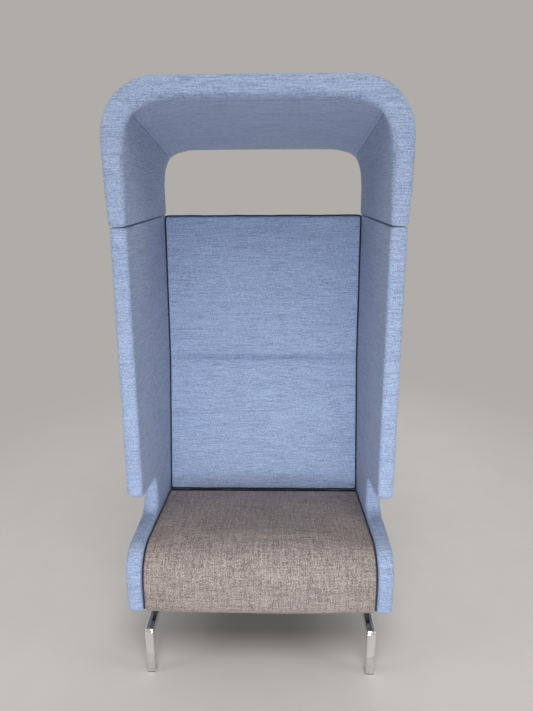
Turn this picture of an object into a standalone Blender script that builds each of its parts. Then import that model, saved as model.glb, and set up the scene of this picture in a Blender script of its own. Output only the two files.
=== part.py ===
"""Pod sofa: a seat between two high upholstered side panels, roofed by a hood with an open rear
window, standing on two chromed leg frames.

Metres, +Z up. The sitter faces -Y, and left and right are as seen from the front (-X and +X).
Profiles are drawn in (u, z): u is the depth behind the front face, z the height above the floor.
"""

import math

import bmesh
import bpy
from mathutils import Matrix, Vector

# Clearance between pieces that touch
FIT = 0.0003

# Side panels: one board each for the seat's side and the wing above it
WIDTH = 0.855
PANEL_THICK = 0.0505
PANEL_ROUND = 0.012
PANEL_UNDERSIDE = 0.229
PANEL_TOE_RADIUS = 0.032
PANEL_HEEL_RADIUS = 0.040
PANEL_REVEAL = 0.002
REAR_BEND_RADIUS = 0.300
ARM_HEIGHT = 0.450
ARM_NOSE_RADIUS = 0.090
NOTCH_DEPTH = 0.286
NOTCH_TOP = 0.575
NOTCH_UPPER_RADIUS = 0.035
NOTCH_LOWER_RADIUS = 0.062
WING_FOOT = 0.598
WING_SETBACK = 0.083
WING_TOE_RADIUS = 0.035

# Seam between the wings and the hood
SEAM_HEIGHT = 1.451
SEAM_RISE = 0.034
SEAM_SETBACK = 0.111
SEAM_GAP = 0.004
SEAM_ROUND = 0.003

# Hood
HOOD_HEIGHT = 1.848
HOOD_FALL = 0.076
HOOD_SETBACK = 0.094
HOOD_REAR_LEAN = 0.018
HOOD_RADIUS = 0.160
HOOD_FOOT = 0.012
HOOD_FULLNESS = 0.004

# Lining of the hood: rounded at the rims, creased along the corner seams between them
RIM_CORNER = 0.150
WINDOW_CORNER = 0.105
SEAM_CORNER = 0.141
RIM_CREASE = math.radians(8)
SEAM_CREASE = math.radians(45)
RIM_EASE = 0.060

# Boards inside the panels and the hood, and the pins that join them
CORE_THICK = 0.015
EDGE_FOAM = 0.018
PIN_DIAMETER = 0.008
PIN_LENGTH = 0.070
PIN_MARGIN = 0.110

# Seat cushion
SEAT_SETBACK = 0.007
SEAT_FRONT_HEIGHT = 0.446
SEAT_REAR_HEIGHT = 0.402
SEAT_DEPTH = 0.511
SEAT_UNDERSIDE = 0.230
SEAT_NOSE_RADIUS = 0.100
SEAT_TOE_RADIUS = 0.022
SEAT_HEEL_RADIUS = 0.020
SEAT_CROWN = 0.012

# Back: a front pad, a moulded board, fixing brackets and an upholstered rear cover
BACK_BEND_HEIGHT = 0.930
BACK_TOP_HEIGHT = 1.479
LOWER_RECLINE = math.radians(12.2)
UPPER_RECLINE = math.radians(3.8)
BACK_PAD_THICK = 0.024
BACK_BOARD_THICK = 0.010
BACK_BOARD_MARGIN = 0.003
BACK_COVER_THICK = 0.008
BACK_TOP_WRAP = 0.014
BACK_TOP_ROUND = 0.010
BACK_CROWN = 0.009
BACK_CHANNEL = 0.004
BACK_CHANNEL_WIDTH = 0.040

# Sewn piping along the edges of both cushions
PIPING_DIAMETER = 0.0056
PIPING_TURN = 0.008
CUSHION_GAP = 0.00375
CUSHION_ROUND = 0.0075
CROWN_MARGIN = 0.016

# Brackets between the back board and the side panels
BRACKET_THICK = 0.003
BRACKET_ARM = 0.045
BRACKET_REACH = 0.026
BRACKET_LENGTH = 0.060
BRACKET_RISE = 0.158
BRACKET_DROP = 0.170

# Seat base
BASE_SETBACK = 0.110
BASE_TOP = 0.300
BASE_BOARD = 0.025
BLOCK_LEG = 0.055
BLOCK_HEIGHT = 0.070
WEB_COUNT = 6
WEB_WIDTH = 0.060
WEB_THICK = 0.002
WEB_MARGIN = 0.0517
DUST_COVER_THICK = 0.0015
DUST_COVER_MARGIN = 0.004

# Leg frames and glides
LEG_INSET = 0.0117
LEG_SECTION = 0.028
LEG_ROUND = 0.004
LEG_BEND_RADIUS = 0.014
LEG_INNER_RADIUS = 0.004
LEG_TOP = 0.169
LEG_FRONT = 0.004
LEG_REAR = 0.630
GLIDE_THICK = 0.004
GLIDE_SIDE = 0.024
SPIGOT_SIDE = 0.016
SPIGOT_HEIGHT = 0.012

# Bolts
BOLT_DIAMETER = 0.008
BOLT_HEAD_DIAMETER = 0.014
BOLT_HEAD_HEIGHT = 0.005
BOLT_GRIP = 0.045
BOLT_MARGIN = 0.100
PANEL_BOLT_DROP = 0.022
INSERT_DIAMETER = 0.013

# Facets
ARC_STEP = math.radians(12)
SMOOTH_ANGLE = math.radians(35)
SHARP_ANGLE = math.radians(40)
ROUND_SEGMENTS = 3
CROSS_SECTIONS = 7
FIELD_STEPS = 7
BOLT_SIDES = 12

# Half widths that several pieces share
OUTER = WIDTH / 2
INNER = OUTER - PANEL_THICK
PIPING_RADIUS = PIPING_DIAMETER / 2
CUSHION_HALF = INNER - CUSHION_GAP
CORE_OUTER = OUTER - (PANEL_THICK - CORE_THICK) / 2
CORE_MIDDLE = OUTER - PANEL_THICK / 2
BASE_HALF = INNER - FIT
LEG_SPACING = 2 * (BASE_HALF - LEG_INSET)
WEB_PITCH = (2 * (BASE_HALF - BASE_BOARD - WEB_MARGIN) - WEB_WIDTH) / (WEB_COUNT - 1)

# Layers of the back, as depths behind its front surface
BOARD_FRONT = BACK_PAD_THICK + FIT
BOARD_REAR = BOARD_FRONT + BACK_BOARD_THICK
BRACKET_FRONT = BOARD_REAR + FIT
BRACKET_REAR = BRACKET_FRONT + BRACKET_THICK
COVER_FRONT = BRACKET_REAR + FIT
COVER_REAR = COVER_FRONT + BACK_COVER_THICK


def back_line(z, depth):
    """u of the surface that lies this depth behind the back's front surface, at height z."""
    bend = SEAT_DEPTH + (BACK_BEND_HEIGHT - SEAT_REAR_HEIGHT) * math.tan(LOWER_RECLINE)
    rise = z - BACK_BEND_HEIGHT
    lower = bend + rise * math.tan(LOWER_RECLINE) + depth / math.cos(LOWER_RECLINE)
    upper = bend + rise * math.tan(UPPER_RECLINE) + depth / math.cos(UPPER_RECLINE)
    return min(lower, upper)


def bend_height(depth):
    """Height at which that surface bends."""
    gain = depth / math.cos(UPPER_RECLINE) - depth / math.cos(LOWER_RECLINE)
    return BACK_BEND_HEIGHT + gain / (math.tan(LOWER_RECLINE) - math.tan(UPPER_RECLINE))


# Levels and depths that follow from the sizes above
SEAM_REAR_HEIGHT = SEAM_HEIGHT + SEAM_RISE
DEPTH = back_line(SEAM_REAR_HEIGHT, COVER_REAR) + PANEL_REVEAL
MIDDLE = (min(0, SEAT_SETBACK - SEAT_CROWN) + DEPTH) / 2
BASE_UNDERSIDE = LEG_TOP + FIT
WEB_BOTTOM = BASE_TOP + FIT
WEB_TOP = WEB_BOTTOM + WEB_THICK
CUSHION_FLOOR = WEB_TOP + FIT
BASE_REAR = back_line(BASE_TOP, BOARD_FRONT) + BACK_BOARD_THICK / 2
COVER_SLACK = back_line(BASE_TOP, COVER_FRONT) - BASE_REAR - FIT
COVER_FOOT = BASE_TOP - COVER_SLACK / math.tan(LOWER_RECLINE)
BOARD_TOP = BACK_TOP_HEIGHT - BACK_TOP_WRAP
BRACKET_HEIGHTS = {
    "lower": SEAT_REAR_HEIGHT + BRACKET_RISE,
    "upper": BACK_TOP_HEIGHT - BRACKET_DROP,
}
PANEL_BOLT_HEIGHT = BASE_TOP - PANEL_BOLT_DROP
BOLT_DEPTHS = {"front": BASE_SETBACK + BOLT_MARGIN, "rear": BASE_REAR - BOLT_MARGIN}
SIDES = {"left": -1, "right": 1}

# Turns a drawing in (u, z) upright, with its thickness along X
UPRIGHT = Matrix(((0, 0, 1, 0), (1, 0, 0, -MIDDLE), (0, 1, 0, 0), (0, 0, 0, 1)))


# Finishes: colour, roughness, metallic
FINISHES = {
    "blue_fabric": ((0.24, 0.33, 0.55, 1), 0.90, 0.0),
    "brown_tweed": ((0.26, 0.22, 0.21, 1), 0.95, 0.0),
    "navy_piping": ((0.012, 0.014, 0.035, 1), 0.85, 0.0),
    "plywood": ((0.55, 0.40, 0.25, 1), 0.70, 0.0),
    "black_timber": ((0.02, 0.02, 0.02, 1), 0.60, 0.0),
    "webbing": ((0.05, 0.05, 0.05, 1), 0.90, 0.0),
    "black_cloth": ((0.015, 0.015, 0.015, 1), 0.95, 0.0),
    "chrome": ((0.80, 0.80, 0.82, 1), 0.06, 1.0),
    "zinc_steel": ((0.60, 0.60, 0.62, 1), 0.35, 1.0),
    "black_plastic": ((0.03, 0.03, 0.03, 1), 0.50, 0.0),
}


def clear_scene():
    for obj in list(bpy.data.objects):
        bpy.data.objects.remove(obj, do_unlink=True)


def new_collection(name):
    collection = bpy.data.collections.new(name)
    bpy.context.scene.collection.children.link(collection)
    return collection


clear_scene()
PARTS = new_collection("pod_sofa")
CUTTERS = new_collection("cutters")
ORIGIN = bpy.data.objects.new("pod_sofa_origin", None)
PARTS.objects.link(ORIGIN)


def finish_material(finish):
    material = bpy.data.materials.get(finish)
    if material is None:
        colour, roughness, metallic = FINISHES[finish]
        material = bpy.data.materials.new(finish)
        material.use_nodes = True
        shader = material.node_tree.nodes["Principled BSDF"]
        shader.inputs["Base Color"].default_value = colour
        shader.inputs["Roughness"].default_value = roughness
        shader.inputs["Metallic"].default_value = metallic
        material.diffuse_color = colour
    return material


def add_part(name, data, finish, matrix=None):
    """A finished sub-part, in the sofa's collection."""
    obj = bpy.data.objects.new(name, data)
    PARTS.objects.link(obj)
    obj.parent = ORIGIN
    obj.matrix_world = matrix or Matrix()
    if isinstance(data, bpy.types.Mesh):
        data.shade_smooth()
        data.set_sharp_from_angle(angle=SMOOTH_ANGLE)
    if not data.materials:
        data.materials.append(finish_material(finish))
    return obj


def add_cutter(name, data, matrix=None):
    obj = bpy.data.objects.new(name, data)
    CUTTERS.objects.link(obj)
    obj.matrix_world = matrix or Matrix()
    obj.hide_render = True
    obj.display_type = "WIRE"
    return obj


def cut(obj, cutter):
    boolean = obj.modifiers.new(cutter.name, "BOOLEAN")
    boolean.operation = "DIFFERENCE"
    boolean.solver = "EXACT"
    boolean.object = cutter


def to_mesh(name, bm):
    bmesh.ops.recalc_face_normals(bm, faces=bm.faces)
    mesh = bpy.data.meshes.new(name)
    bm.to_mesh(mesh)
    bm.free()
    return mesh


# Drawing tools


def rounded(corners):
    """Points of a closed outline of (u, z, radius) corners, each corner turned on its arc."""
    return [point for arc in corner_arcs(corners) for point in arc]


def corner_arcs(corners):
    """The points of each corner of that outline."""
    arcs = []
    for i, (u, z, radius) in enumerate(corners):
        here = Vector((u, z))
        back = (Vector(corners[i - 1][:2]) - here).normalized()
        ahead = (Vector(corners[(i + 1) % len(corners)][:2]) - here).normalized()
        if radius <= 0:
            arcs.append([here])
            continue
        half = back.angle(ahead) / 2
        centre = here + (back + ahead).normalized() * (radius / math.sin(half))
        start = here + back * (radius / math.tan(half)) - centre
        turn = math.pi - 2 * half
        sign = 1 if ahead.cross(back) > 0 else -1
        steps = max(1, math.ceil(turn / ARC_STEP))
        turns = [Matrix.Rotation(sign * turn * step / steps, 2) for step in range(steps + 1)]
        arcs.append([centre + rotation @ start for rotation in turns])
    return arcs


def inset(corners, distance, special=None):
    """The same corners drawn in by a distance; special gives another distance for an edge."""
    special = special or {}
    lines = []
    for i, corner in enumerate(corners):
        start = Vector(corner[:2])
        along = (Vector(corners[(i + 1) % len(corners)][:2]) - start).normalized()
        inward = Vector((-along.y, along.x))
        lines.append((start + inward * special.get(i, distance), along))
    moved = []
    for i, (start, along) in enumerate(lines):
        before, heading = lines[i - 1]
        turn = heading.cross(along)
        point = before + heading * ((start - before).cross(along) / turn)
        radius = corners[i][2]
        if radius > 0:
            radius = max(radius - math.copysign(distance, turn), SEAM_ROUND)
        moved.append((point.x, point.y, radius))
    return moved


def flat_mesh(name, outlines, thickness):
    """Closed plates of this thickness, one for each outline, drawn in their own XY plane."""
    curve = bpy.data.curves.new(name, "CURVE")
    curve.dimensions = "2D"
    curve.fill_mode = "BOTH"
    curve.extrude = thickness / 2
    for outline in outlines:
        spline = curve.splines.new("POLY")
        spline.points.add(len(outline) - 1)
        spline.use_cyclic_u = True
        for point, (x, y) in zip(spline.points, outline):
            point.co = (x, y, 0, 1)
    guide = bpy.data.objects.new(name, curve)
    PARTS.objects.link(guide)
    graph = bpy.context.evaluated_depsgraph_get()
    mesh = bpy.data.meshes.new_from_object(guide.evaluated_get(graph))
    bpy.data.objects.remove(guide, do_unlink=True)
    bm = bmesh.new()
    bm.from_mesh(mesh)
    bmesh.ops.remove_doubles(bm, verts=bm.verts, dist=1e-5)
    bmesh.ops.dissolve_limit(bm, angle_limit=math.radians(0.5), verts=bm.verts, edges=bm.edges)
    return to_mesh(name, bm)


def loft(name, sections):
    """A closed body through sections that have the same number of points."""
    bm = bmesh.new()
    rings = [[bm.verts.new(point) for point in section] for section in sections]
    count = len(sections[0])
    for ring, following in zip(rings, rings[1:]):
        for i in range(count):
            j = (i + 1) % count
            bm.faces.new((ring[i], ring[j], following[j], following[i]))
    bm.faces.new(rings[0])
    bm.faces.new(rings[-1])
    return to_mesh(name, bm)


def box_mesh(name, low, high):
    bm = bmesh.new()
    low, high = Vector(low), Vector(high)
    place = Matrix.Translation((low + high) / 2) @ Matrix.Diagonal((*(high - low), 1))
    bmesh.ops.create_cube(bm, size=1, matrix=place)
    return to_mesh(name, bm)


def rod_mesh(name, radius, bottom, top, places=(Matrix(),)):
    """A round rod about Z from one height to another, set at each place."""
    bm = bmesh.new()
    for place in places:
        bmesh.ops.create_cone(
            bm,
            cap_ends=True,
            segments=BOLT_SIDES,
            radius1=radius,
            radius2=radius,
            depth=top - bottom,
            matrix=place @ Matrix.Translation((0, 0, (bottom + top) / 2)),
        )
    return to_mesh(name, bm)


def profile_mesh(name, profile, closed=False):
    """A line of (radius, height) points that a Screw modifier turns about Z."""
    bm = bmesh.new()
    points = [bm.verts.new((radius, 0, height)) for radius, height in profile]
    for first, second in zip(points, points[1:] + points[:1] if closed else points[1:]):
        bm.edges.new((first, second))
    mesh = bpy.data.meshes.new(name)
    bm.to_mesh(mesh)
    bm.free()
    return mesh


def turn_about_axis(obj):
    screw = obj.modifiers.new("turned", "SCREW")
    screw.axis = "Z"
    screw.steps = screw.render_steps = BOLT_SIDES
    screw.use_merge_vertices = True
    screw.merge_threshold = 0.0001


def bolt_profile(length):
    """A bolt whose head sits on height 0 and whose shank runs up from it."""
    head, shank = BOLT_HEAD_DIAMETER / 2, BOLT_DIAMETER / 2
    return [(0, length), (shank, length), (shank, 0), (head, 0), (head, -BOLT_HEAD_HEIGHT),
            (0, -BOLT_HEAD_HEIGHT)]


def round_edges(obj, width, weight_of):
    """Bevels each edge by its weight, which weight_of gives for the mesh's edges."""
    bm = bmesh.new()
    bm.from_mesh(obj.data)
    layer = bm.edges.layers.float.new("bevel_weight_edge")
    for edge in bm.edges:
        edge[layer] = weight_of(edge)
    bm.to_mesh(obj.data)
    bm.free()
    bevel = obj.modifiers.new("rounded_edges", "BEVEL")
    bevel.width = width
    bevel.segments = ROUND_SEGMENTS
    bevel.limit_method = "WEIGHT"
    bevel.use_clamp_overlap = False


def is_sharp(edge):
    return len(edge.link_faces) == 2 and edge.calc_face_angle(0) > SHARP_ANGLE


def tube(name, points, finish, joined=False):
    """A round cord along points, with closed ends or joined up into a ring."""
    curve = bpy.data.curves.new(name, "CURVE")
    curve.dimensions = "3D"
    curve.bevel_depth = PIPING_RADIUS
    curve.bevel_resolution = 2
    curve.use_fill_caps = True
    spline = curve.splines.new("POLY")
    spline.points.add(len(points) - 1)
    spline.use_cyclic_u = joined
    for point, place in zip(spline.points, points):
        point.co = (*place, 1)
    return add_part(name, curve, finish)


def world(x, u, z):
    return Vector((x, u - MIDDLE, z))


# Lines of the side view


def seam_line(u):
    return SEAM_HEIGHT + SEAM_RISE * (u - SEAM_SETBACK) / (DEPTH - SEAM_SETBACK)


def panel_corners():
    """Corners of a side panel's edge, the seam with the hood being the edge from corner 3 to 4."""
    rear_bend = bend_height(COVER_REAR)
    heel = back_line(PANEL_UNDERSIDE, COVER_REAR) + PANEL_REVEAL
    return [
        (0, PANEL_UNDERSIDE, PANEL_TOE_RADIUS),
        (heel, PANEL_UNDERSIDE, PANEL_HEEL_RADIUS),
        (back_line(rear_bend, COVER_REAR) + PANEL_REVEAL, rear_bend, REAR_BEND_RADIUS),
        (DEPTH, SEAM_REAR_HEIGHT - SEAM_GAP / 2, 0),
        (SEAM_SETBACK, SEAM_HEIGHT - SEAM_GAP / 2, 0),
        (WING_SETBACK, WING_FOOT, WING_TOE_RADIUS),
        (NOTCH_DEPTH, NOTCH_TOP, NOTCH_UPPER_RADIUS),
        (NOTCH_DEPTH, ARM_HEIGHT, NOTCH_LOWER_RADIUS),
        (0, ARM_HEIGHT, ARM_NOSE_RADIUS),
    ]


SEAM_EDGE = 3
CORE_PROUD = SEAM_GAP / 2 - FIT / 2


def bolt_places(side):
    """Where the bolts between the seat base and a side panel start, with their direction."""
    inside = side * (BASE_HALF - BASE_BOARD - FIT)
    turn = Matrix.Rotation(side * math.pi / 2, 4, "Y")
    return {
        end: Matrix.Translation(world(inside, u, PANEL_BOLT_HEIGHT)) @ turn
        for end, u in BOLT_DEPTHS.items()
    }


PANEL_BOLT_LENGTH = CORE_OUTER - (BASE_HALF - BASE_BOARD) - FIT
INSERT_START = CORE_OUTER - CORE_THICK - (BASE_HALF - BASE_BOARD - FIT)


def pin_places(side):
    depths = {"front": SEAM_SETBACK + PIN_MARGIN, "rear": DEPTH - PIN_MARGIN}
    return {
        end: Matrix.Translation(world(side * CORE_MIDDLE, u, seam_line(u)))
        for end, u in depths.items()
    }


def leg_bolt_places(side):
    underside = LEG_TOP - LEG_SECTION - FIT
    return {
        end: Matrix.Translation(world(side * LEG_SPACING / 2, u, underside))
        for end, u in BOLT_DEPTHS.items()
    }


def hole_cutter(name, places, radius, bottom, top):
    return add_cutter(name, rod_mesh(name, radius, bottom, top, places.values()))


# Side panels


def make_side(label, side):
    corners = panel_corners()
    at_middle = Matrix.Translation((side * CORE_MIDDLE, 0, 0)) @ UPRIGHT
    pad = add_part(
        f"side_panel_{label}",
        flat_mesh("side_panel", [rounded(corners)], PANEL_THICK),
        "blue_fabric",
        at_middle,
    )
    seam_ends = [Vector(corner[:2]) for corner in corners[SEAM_EDGE : SEAM_EDGE + 2]]

    def weight(edge):
        on_seam = all(
            min((vert.co.xy - end).length for end in seam_ends) < SEAM_ROUND for vert in edge.verts
        )
        return (SEAM_ROUND / PANEL_ROUND if on_seam else 1.0) if is_sharp(edge) else 0.0

    round_edges(pad, PANEL_ROUND, weight)
    core_corners = inset(corners, EDGE_FOAM, {SEAM_EDGE: -CORE_PROUD})
    core = add_part(
        f"side_core_{label}",
        flat_mesh("side_core", [rounded(core_corners)], CORE_THICK),
        "plywood",
        at_middle,
    )
    pocket_corners = inset(corners, EDGE_FOAM - FIT, {SEAM_EDGE: -EDGE_FOAM})
    pocket = flat_mesh("side_pocket", [rounded(pocket_corners)], CORE_THICK + 2 * FIT)
    cut(pad, add_cutter(f"side_pocket_{label}", pocket, at_middle))
    bolt_hole = BOLT_DIAMETER / 2 + FIT
    cut(pad, hole_cutter(f"panel_bolt_holes_{label}", bolt_places(side), bolt_hole,
                         BASE_BOARD - FIT, INSERT_START + CORE_THICK / 2))
    cut(core, hole_cutter(f"insert_holes_{label}", bolt_places(side), INSERT_DIAMETER / 2 + FIT,
                          INSERT_START - CORE_THICK, INSERT_START + 2 * CORE_THICK))
    cut(core, hole_cutter(f"pin_holes_low_{label}", pin_places(side), PIN_DIAMETER / 2 + FIT,
                          -PIN_LENGTH / 2 - FIT, PIN_LENGTH / 2))


# Hood


def hood_front(z):
    share = (z - SEAM_HEIGHT) / (HOOD_HEIGHT - SEAM_HEIGHT)
    return SEAM_SETBACK + (HOOD_SETBACK - SEAM_SETBACK) * share


def hood_rear(z):
    return DEPTH - HOOD_REAR_LEAN * (z - SEAM_REAR_HEIGHT) / (HOOD_HEIGHT - SEAM_REAR_HEIGHT)


def roof_line(u):
    return HOOD_HEIGHT - HOOD_FALL * (u - HOOD_SETBACK) / (DEPTH - HOOD_SETBACK)


def arch(depth, top, foot, size, crease=0.0):
    """Arch in (x, z), this depth inside the hood's outer surface, with corners of this size.

    A crease leaves that much of each corner's turn to a fold at its middle.
    """
    corner = Vector((depth - OUTER, top - depth))
    turn = (math.pi / 2 - crease) / 2
    radius = size / (1 - math.cos(turn) + math.sin(turn))
    steps = math.ceil(math.pi / 4 / ARC_STEP)
    rise = [turn * step / steps for step in range(steps + 1)]
    side = [Vector((1 - math.cos(angle), math.sin(angle))) * radius for angle in rise]
    left = [Vector((corner.x, foot))]
    left += [corner + Vector((0, -size)) + point for point in side]
    left += [corner + Vector((size, 0)) - point.yx for point in reversed(side[:-1])]
    return left + [Vector((-point.x, point.y)) for point in reversed(left)]


def hood_body(name, outer_depth, inner_depth, drop, stations):
    """A closed arch between two depths, through stations that each give an edge of the hood, the
    distance behind it, and the size and crease of the inner corners there.

    A low hood's corners stop short of the seam, where a straight foot of the wall stays.
    """
    sections = []
    for edge, behind, size, crease in stations:
        seam = seam_line(edge(SEAM_REAR_HEIGHT) + behind)
        top = roof_line(edge(HOOD_HEIGHT) + behind)
        room = top - seam - HOOD_FOOT
        outline = arch(outer_depth, top, seam - drop, min(HOOD_RADIUS, room) - outer_depth)
        outline += arch(inner_depth, top, seam - drop, min(size, room - inner_depth), crease)[::-1]
        sections.append([world(x, edge(z) + behind, z) for x, z in outline])
    return loft(name, sections)


def board_stations(depth, margin):
    """Ends of a bent board whose inner surface lies at this depth, drawn in by a margin."""
    size = HOOD_RADIUS - depth
    return [(hood_front, margin, size, 0.0), (hood_rear, -margin, size, 0.0)]


LINING = [
    (hood_front, 0, RIM_CORNER, RIM_CREASE),
    (hood_front, RIM_EASE, SEAM_CORNER, SEAM_CREASE),
    (hood_rear, -RIM_EASE, SEAM_CORNER, SEAM_CREASE),
    (hood_rear, 0, WINDOW_CORNER, RIM_CREASE),
]


def make_hood():
    body = hood_body("hood", -HOOD_FULLNESS, PANEL_THICK, -SEAM_GAP / 2, LINING)
    pad = add_part("hood", body, "blue_fabric")
    foot_limit = SEAM_REAR_HEIGHT + SEAM_GAP

    def weight(edge):
        if not is_sharp(edge):
            return 0.0
        on_seam = all(vert.co.z < foot_limit for vert in edge.verts)
        return SEAM_ROUND / PANEL_ROUND if on_seam else 1.0

    round_edges(pad, PANEL_ROUND, weight)
    core_depth = OUTER - CORE_OUTER
    core_inner = core_depth + CORE_THICK
    board = hood_body("hood_core", core_depth, core_inner, -FIT / 2,
                      board_stations(core_inner, EDGE_FOAM))
    core = add_part("hood_core", board, "plywood")
    pocket = hood_body("hood_pocket", core_depth - FIT, core_inner + FIT, EDGE_FOAM,
                       board_stations(core_inner + FIT, EDGE_FOAM - FIT))
    cut(pad, add_cutter("hood_pocket", pocket))
    pin = rod_mesh("hood_pin", PIN_DIAMETER / 2, -PIN_LENGTH / 2, PIN_LENGTH / 2)
    for label, side in SIDES.items():
        for end, place in pin_places(side).items():
            add_part(f"hood_pin_{label}_{end}", pin, "zinc_steel", place)
        cut(core, hole_cutter(f"pin_holes_high_{label}", pin_places(side),
                              PIN_DIAMETER / 2 + FIT, -PIN_LENGTH / 2, PIN_LENGTH / 2 + FIT))


# Cushions


def across():
    """Places across a cushion's width, with the share of its crown there."""
    crowned = CUSHION_HALF - CROWN_MARGIN
    yield -CUSHION_HALF, 0.0
    for step in range(CROSS_SECTIONS):
        share = 2 * step / (CROSS_SECTIONS - 1) - 1
        yield share * crowned, 1 - share * share
    yield CUSHION_HALF, 0.0


def seat_corners():
    rear_low = back_line(CUSHION_FLOOR, -FIT)
    rear_high = back_line(SEAT_REAR_HEIGHT, -FIT)
    apron = BASE_SETBACK - FIT
    return [
        (SEAT_SETBACK, SEAT_UNDERSIDE, SEAT_TOE_RADIUS),
        (apron, SEAT_UNDERSIDE, 0),
        (apron, CUSHION_FLOOR, 0),
        (rear_low, CUSHION_FLOOR, 0),
        (rear_high, SEAT_REAR_HEIGHT, SEAT_HEEL_RADIUS),
        (SEAT_SETBACK, SEAT_FRONT_HEIGHT, SEAT_NOSE_RADIUS),
    ]


def outward_lean(points, i):
    """Outward direction of an outline at a point, and its share on the top and front."""
    along = (points[(i + 1) % len(points)] - points[i - 1]).normalized()
    outward = Vector((along.y, -along.x))
    toward = outward.dot(Vector((-1, 1)).normalized())
    return outward, min(1.0, max(0.0, toward / math.cos(math.pi / 3)))


def make_seat_cushion():
    outline = rounded(seat_corners())
    leans = [outward_lean(outline, i) for i in range(len(outline))]
    sections = []
    for x, share in across():
        section = []
        for point, (outward, lean) in zip(outline, leans):
            u, z = point + outward * (SEAT_CROWN * share * lean)
            section.append(world(x, u, z))
        sections.append(section)
    seat = add_part("seat_cushion", loft("seat_cushion", sections), "brown_tweed")
    side_limit = CUSHION_HALF - FIT
    apron = BASE_SETBACK - MIDDLE - 2 * FIT

    def weight(edge):
        at_side = all(abs(vert.co.x) > side_limit for vert in edge.verts)
        over_base = all(vert.co.y > apron and vert.co.z < CUSHION_FLOOR + FIT for vert in edge.verts)
        return float(at_side and not over_base)

    round_edges(seat, CUSHION_ROUND, weight)


def crown_at(z):
    """How far the back's front swells at this height: a crown in each field, a channel between."""
    top = BACK_TOP_HEIGHT - CROWN_MARGIN
    if not SEAT_REAR_HEIGHT < z < top:
        return 0.0
    if z < BACK_BEND_HEIGHT:
        share = (z - SEAT_REAR_HEIGHT) / (BACK_BEND_HEIGHT - SEAT_REAR_HEIGHT)
    else:
        share = (z - BACK_BEND_HEIGHT) / (top - BACK_BEND_HEIGHT)
    sunk = max(0.0, 1 - abs(z - BACK_BEND_HEIGHT) / (BACK_CHANNEL_WIDTH / 2))
    return BACK_CROWN * math.sin(math.pi * share) - BACK_CHANNEL * sunk


def field_heights(low, high):
    """Heights down one field of the back, close together at its ends."""
    middle, half = (low + high) / 2, (high - low) / 2
    return [middle + half * math.cos(math.pi * step / FIELD_STEPS) for step in range(FIELD_STEPS)]


def make_back_cushion():
    wrap_rear = COVER_FRONT - FIT
    pad_bend = bend_height(BACK_PAD_THICK)
    outline = [
        (back_line(CUSHION_FLOOR, 0), CUSHION_FLOOR, 0),
        (back_line(CUSHION_FLOOR, BACK_PAD_THICK), CUSHION_FLOOR, 0),
        (back_line(pad_bend, BACK_PAD_THICK), pad_bend, 0),
        (back_line(BOARD_TOP, BACK_PAD_THICK), BOARD_TOP, 0),
        (back_line(BOARD_TOP, wrap_rear), BOARD_TOP, 0),
        (back_line(BACK_TOP_HEIGHT, wrap_rear), BACK_TOP_HEIGHT, 0),
        (back_line(BACK_TOP_HEIGHT, 0), BACK_TOP_HEIGHT, BACK_TOP_ROUND),
        (back_line(BACK_BEND_HEIGHT, 0), BACK_BEND_HEIGHT, 0),
    ]
    body = rounded(outline)[:-1]
    edge_of_channel = BACK_BEND_HEIGHT + BACK_CHANNEL_WIDTH / 2
    front_heights = field_heights(edge_of_channel, BACK_TOP_HEIGHT - CROWN_MARGIN)
    front_heights += [edge_of_channel, BACK_BEND_HEIGHT]
    front_heights += field_heights(SEAT_REAR_HEIGHT, BACK_BEND_HEIGHT - BACK_CHANNEL_WIDTH / 2)
    front_heights += [SEAT_REAR_HEIGHT]
    sections = []
    for x, share in across():
        section = [world(x, u, z) for u, z in body]
        for z in front_heights:
            section.append(world(x, back_line(z, 0) - crown_at(z) * share, z))
        sections.append(section)
    back = add_part("back_cushion", loft("back_cushion", sections), "blue_fabric")
    side_limit = CUSHION_HALF - FIT

    def weight(edge):
        at_side = all(abs(vert.co.x) > side_limit for vert in edge.verts)
        in_front = all(
            vert.co.y + MIDDLE < back_line(vert.co.z, BACK_PAD_THICK / 2) for vert in edge.verts
        )
        return float(at_side and in_front)

    round_edges(back, CUSHION_ROUND, weight)


def make_piping():
    """Cords along both sides of the seat, and one all round the edges of the back."""
    toe, *_, heel, nose = corner_arcs(seat_corners())
    route = [heel[-1], *nose, toe[0]]
    edge = CUSHION_HALF - FIT
    for label, side in SIDES.items():
        tube(f"seat_piping_{label}", [world(side * edge, u, z) for u, z in route], "navy_piping")
    low = SEAT_REAR_HEIGHT
    top_u, top_z = top_edge_piping()
    ring = rounded([
        (edge, low, PIPING_TURN),
        (edge, BACK_BEND_HEIGHT, 0),
        (edge, top_z, PIPING_TURN),
        (-edge, top_z, PIPING_TURN),
        (-edge, BACK_BEND_HEIGHT, 0),
        (-edge, low, PIPING_TURN),
    ])
    top_shift = top_u - back_line(top_z, 0)
    low_shift = -(PIPING_RADIUS + FIT) / math.cos(LOWER_RECLINE)
    points = []
    for x, z in ring:
        at_top = max(0.0, 1 - (top_z - z) / PIPING_TURN)
        at_foot = max(0.0, 1 - (z - low) / PIPING_TURN)
        points.append(world(x, back_line(z, 0) + top_shift * at_top + low_shift * at_foot, z))
    tube("back_piping", points, "navy_piping", joined=True)


def top_edge_piping():
    """Centre of the piping along the rounded top edge of the back, in (u, z)."""
    corner = Vector((back_line(BACK_TOP_HEIGHT, 0), BACK_TOP_HEIGHT))
    facing = Vector((-math.cos(UPPER_RECLINE), math.sin(UPPER_RECLINE)))
    outward = (facing + Vector((0, 1))).normalized()
    centre = corner - outward * (BACK_TOP_ROUND / outward.y)
    return centre + outward * (BACK_TOP_ROUND + PIPING_RADIUS + FIT)


# Back board, brackets and rear cover


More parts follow.
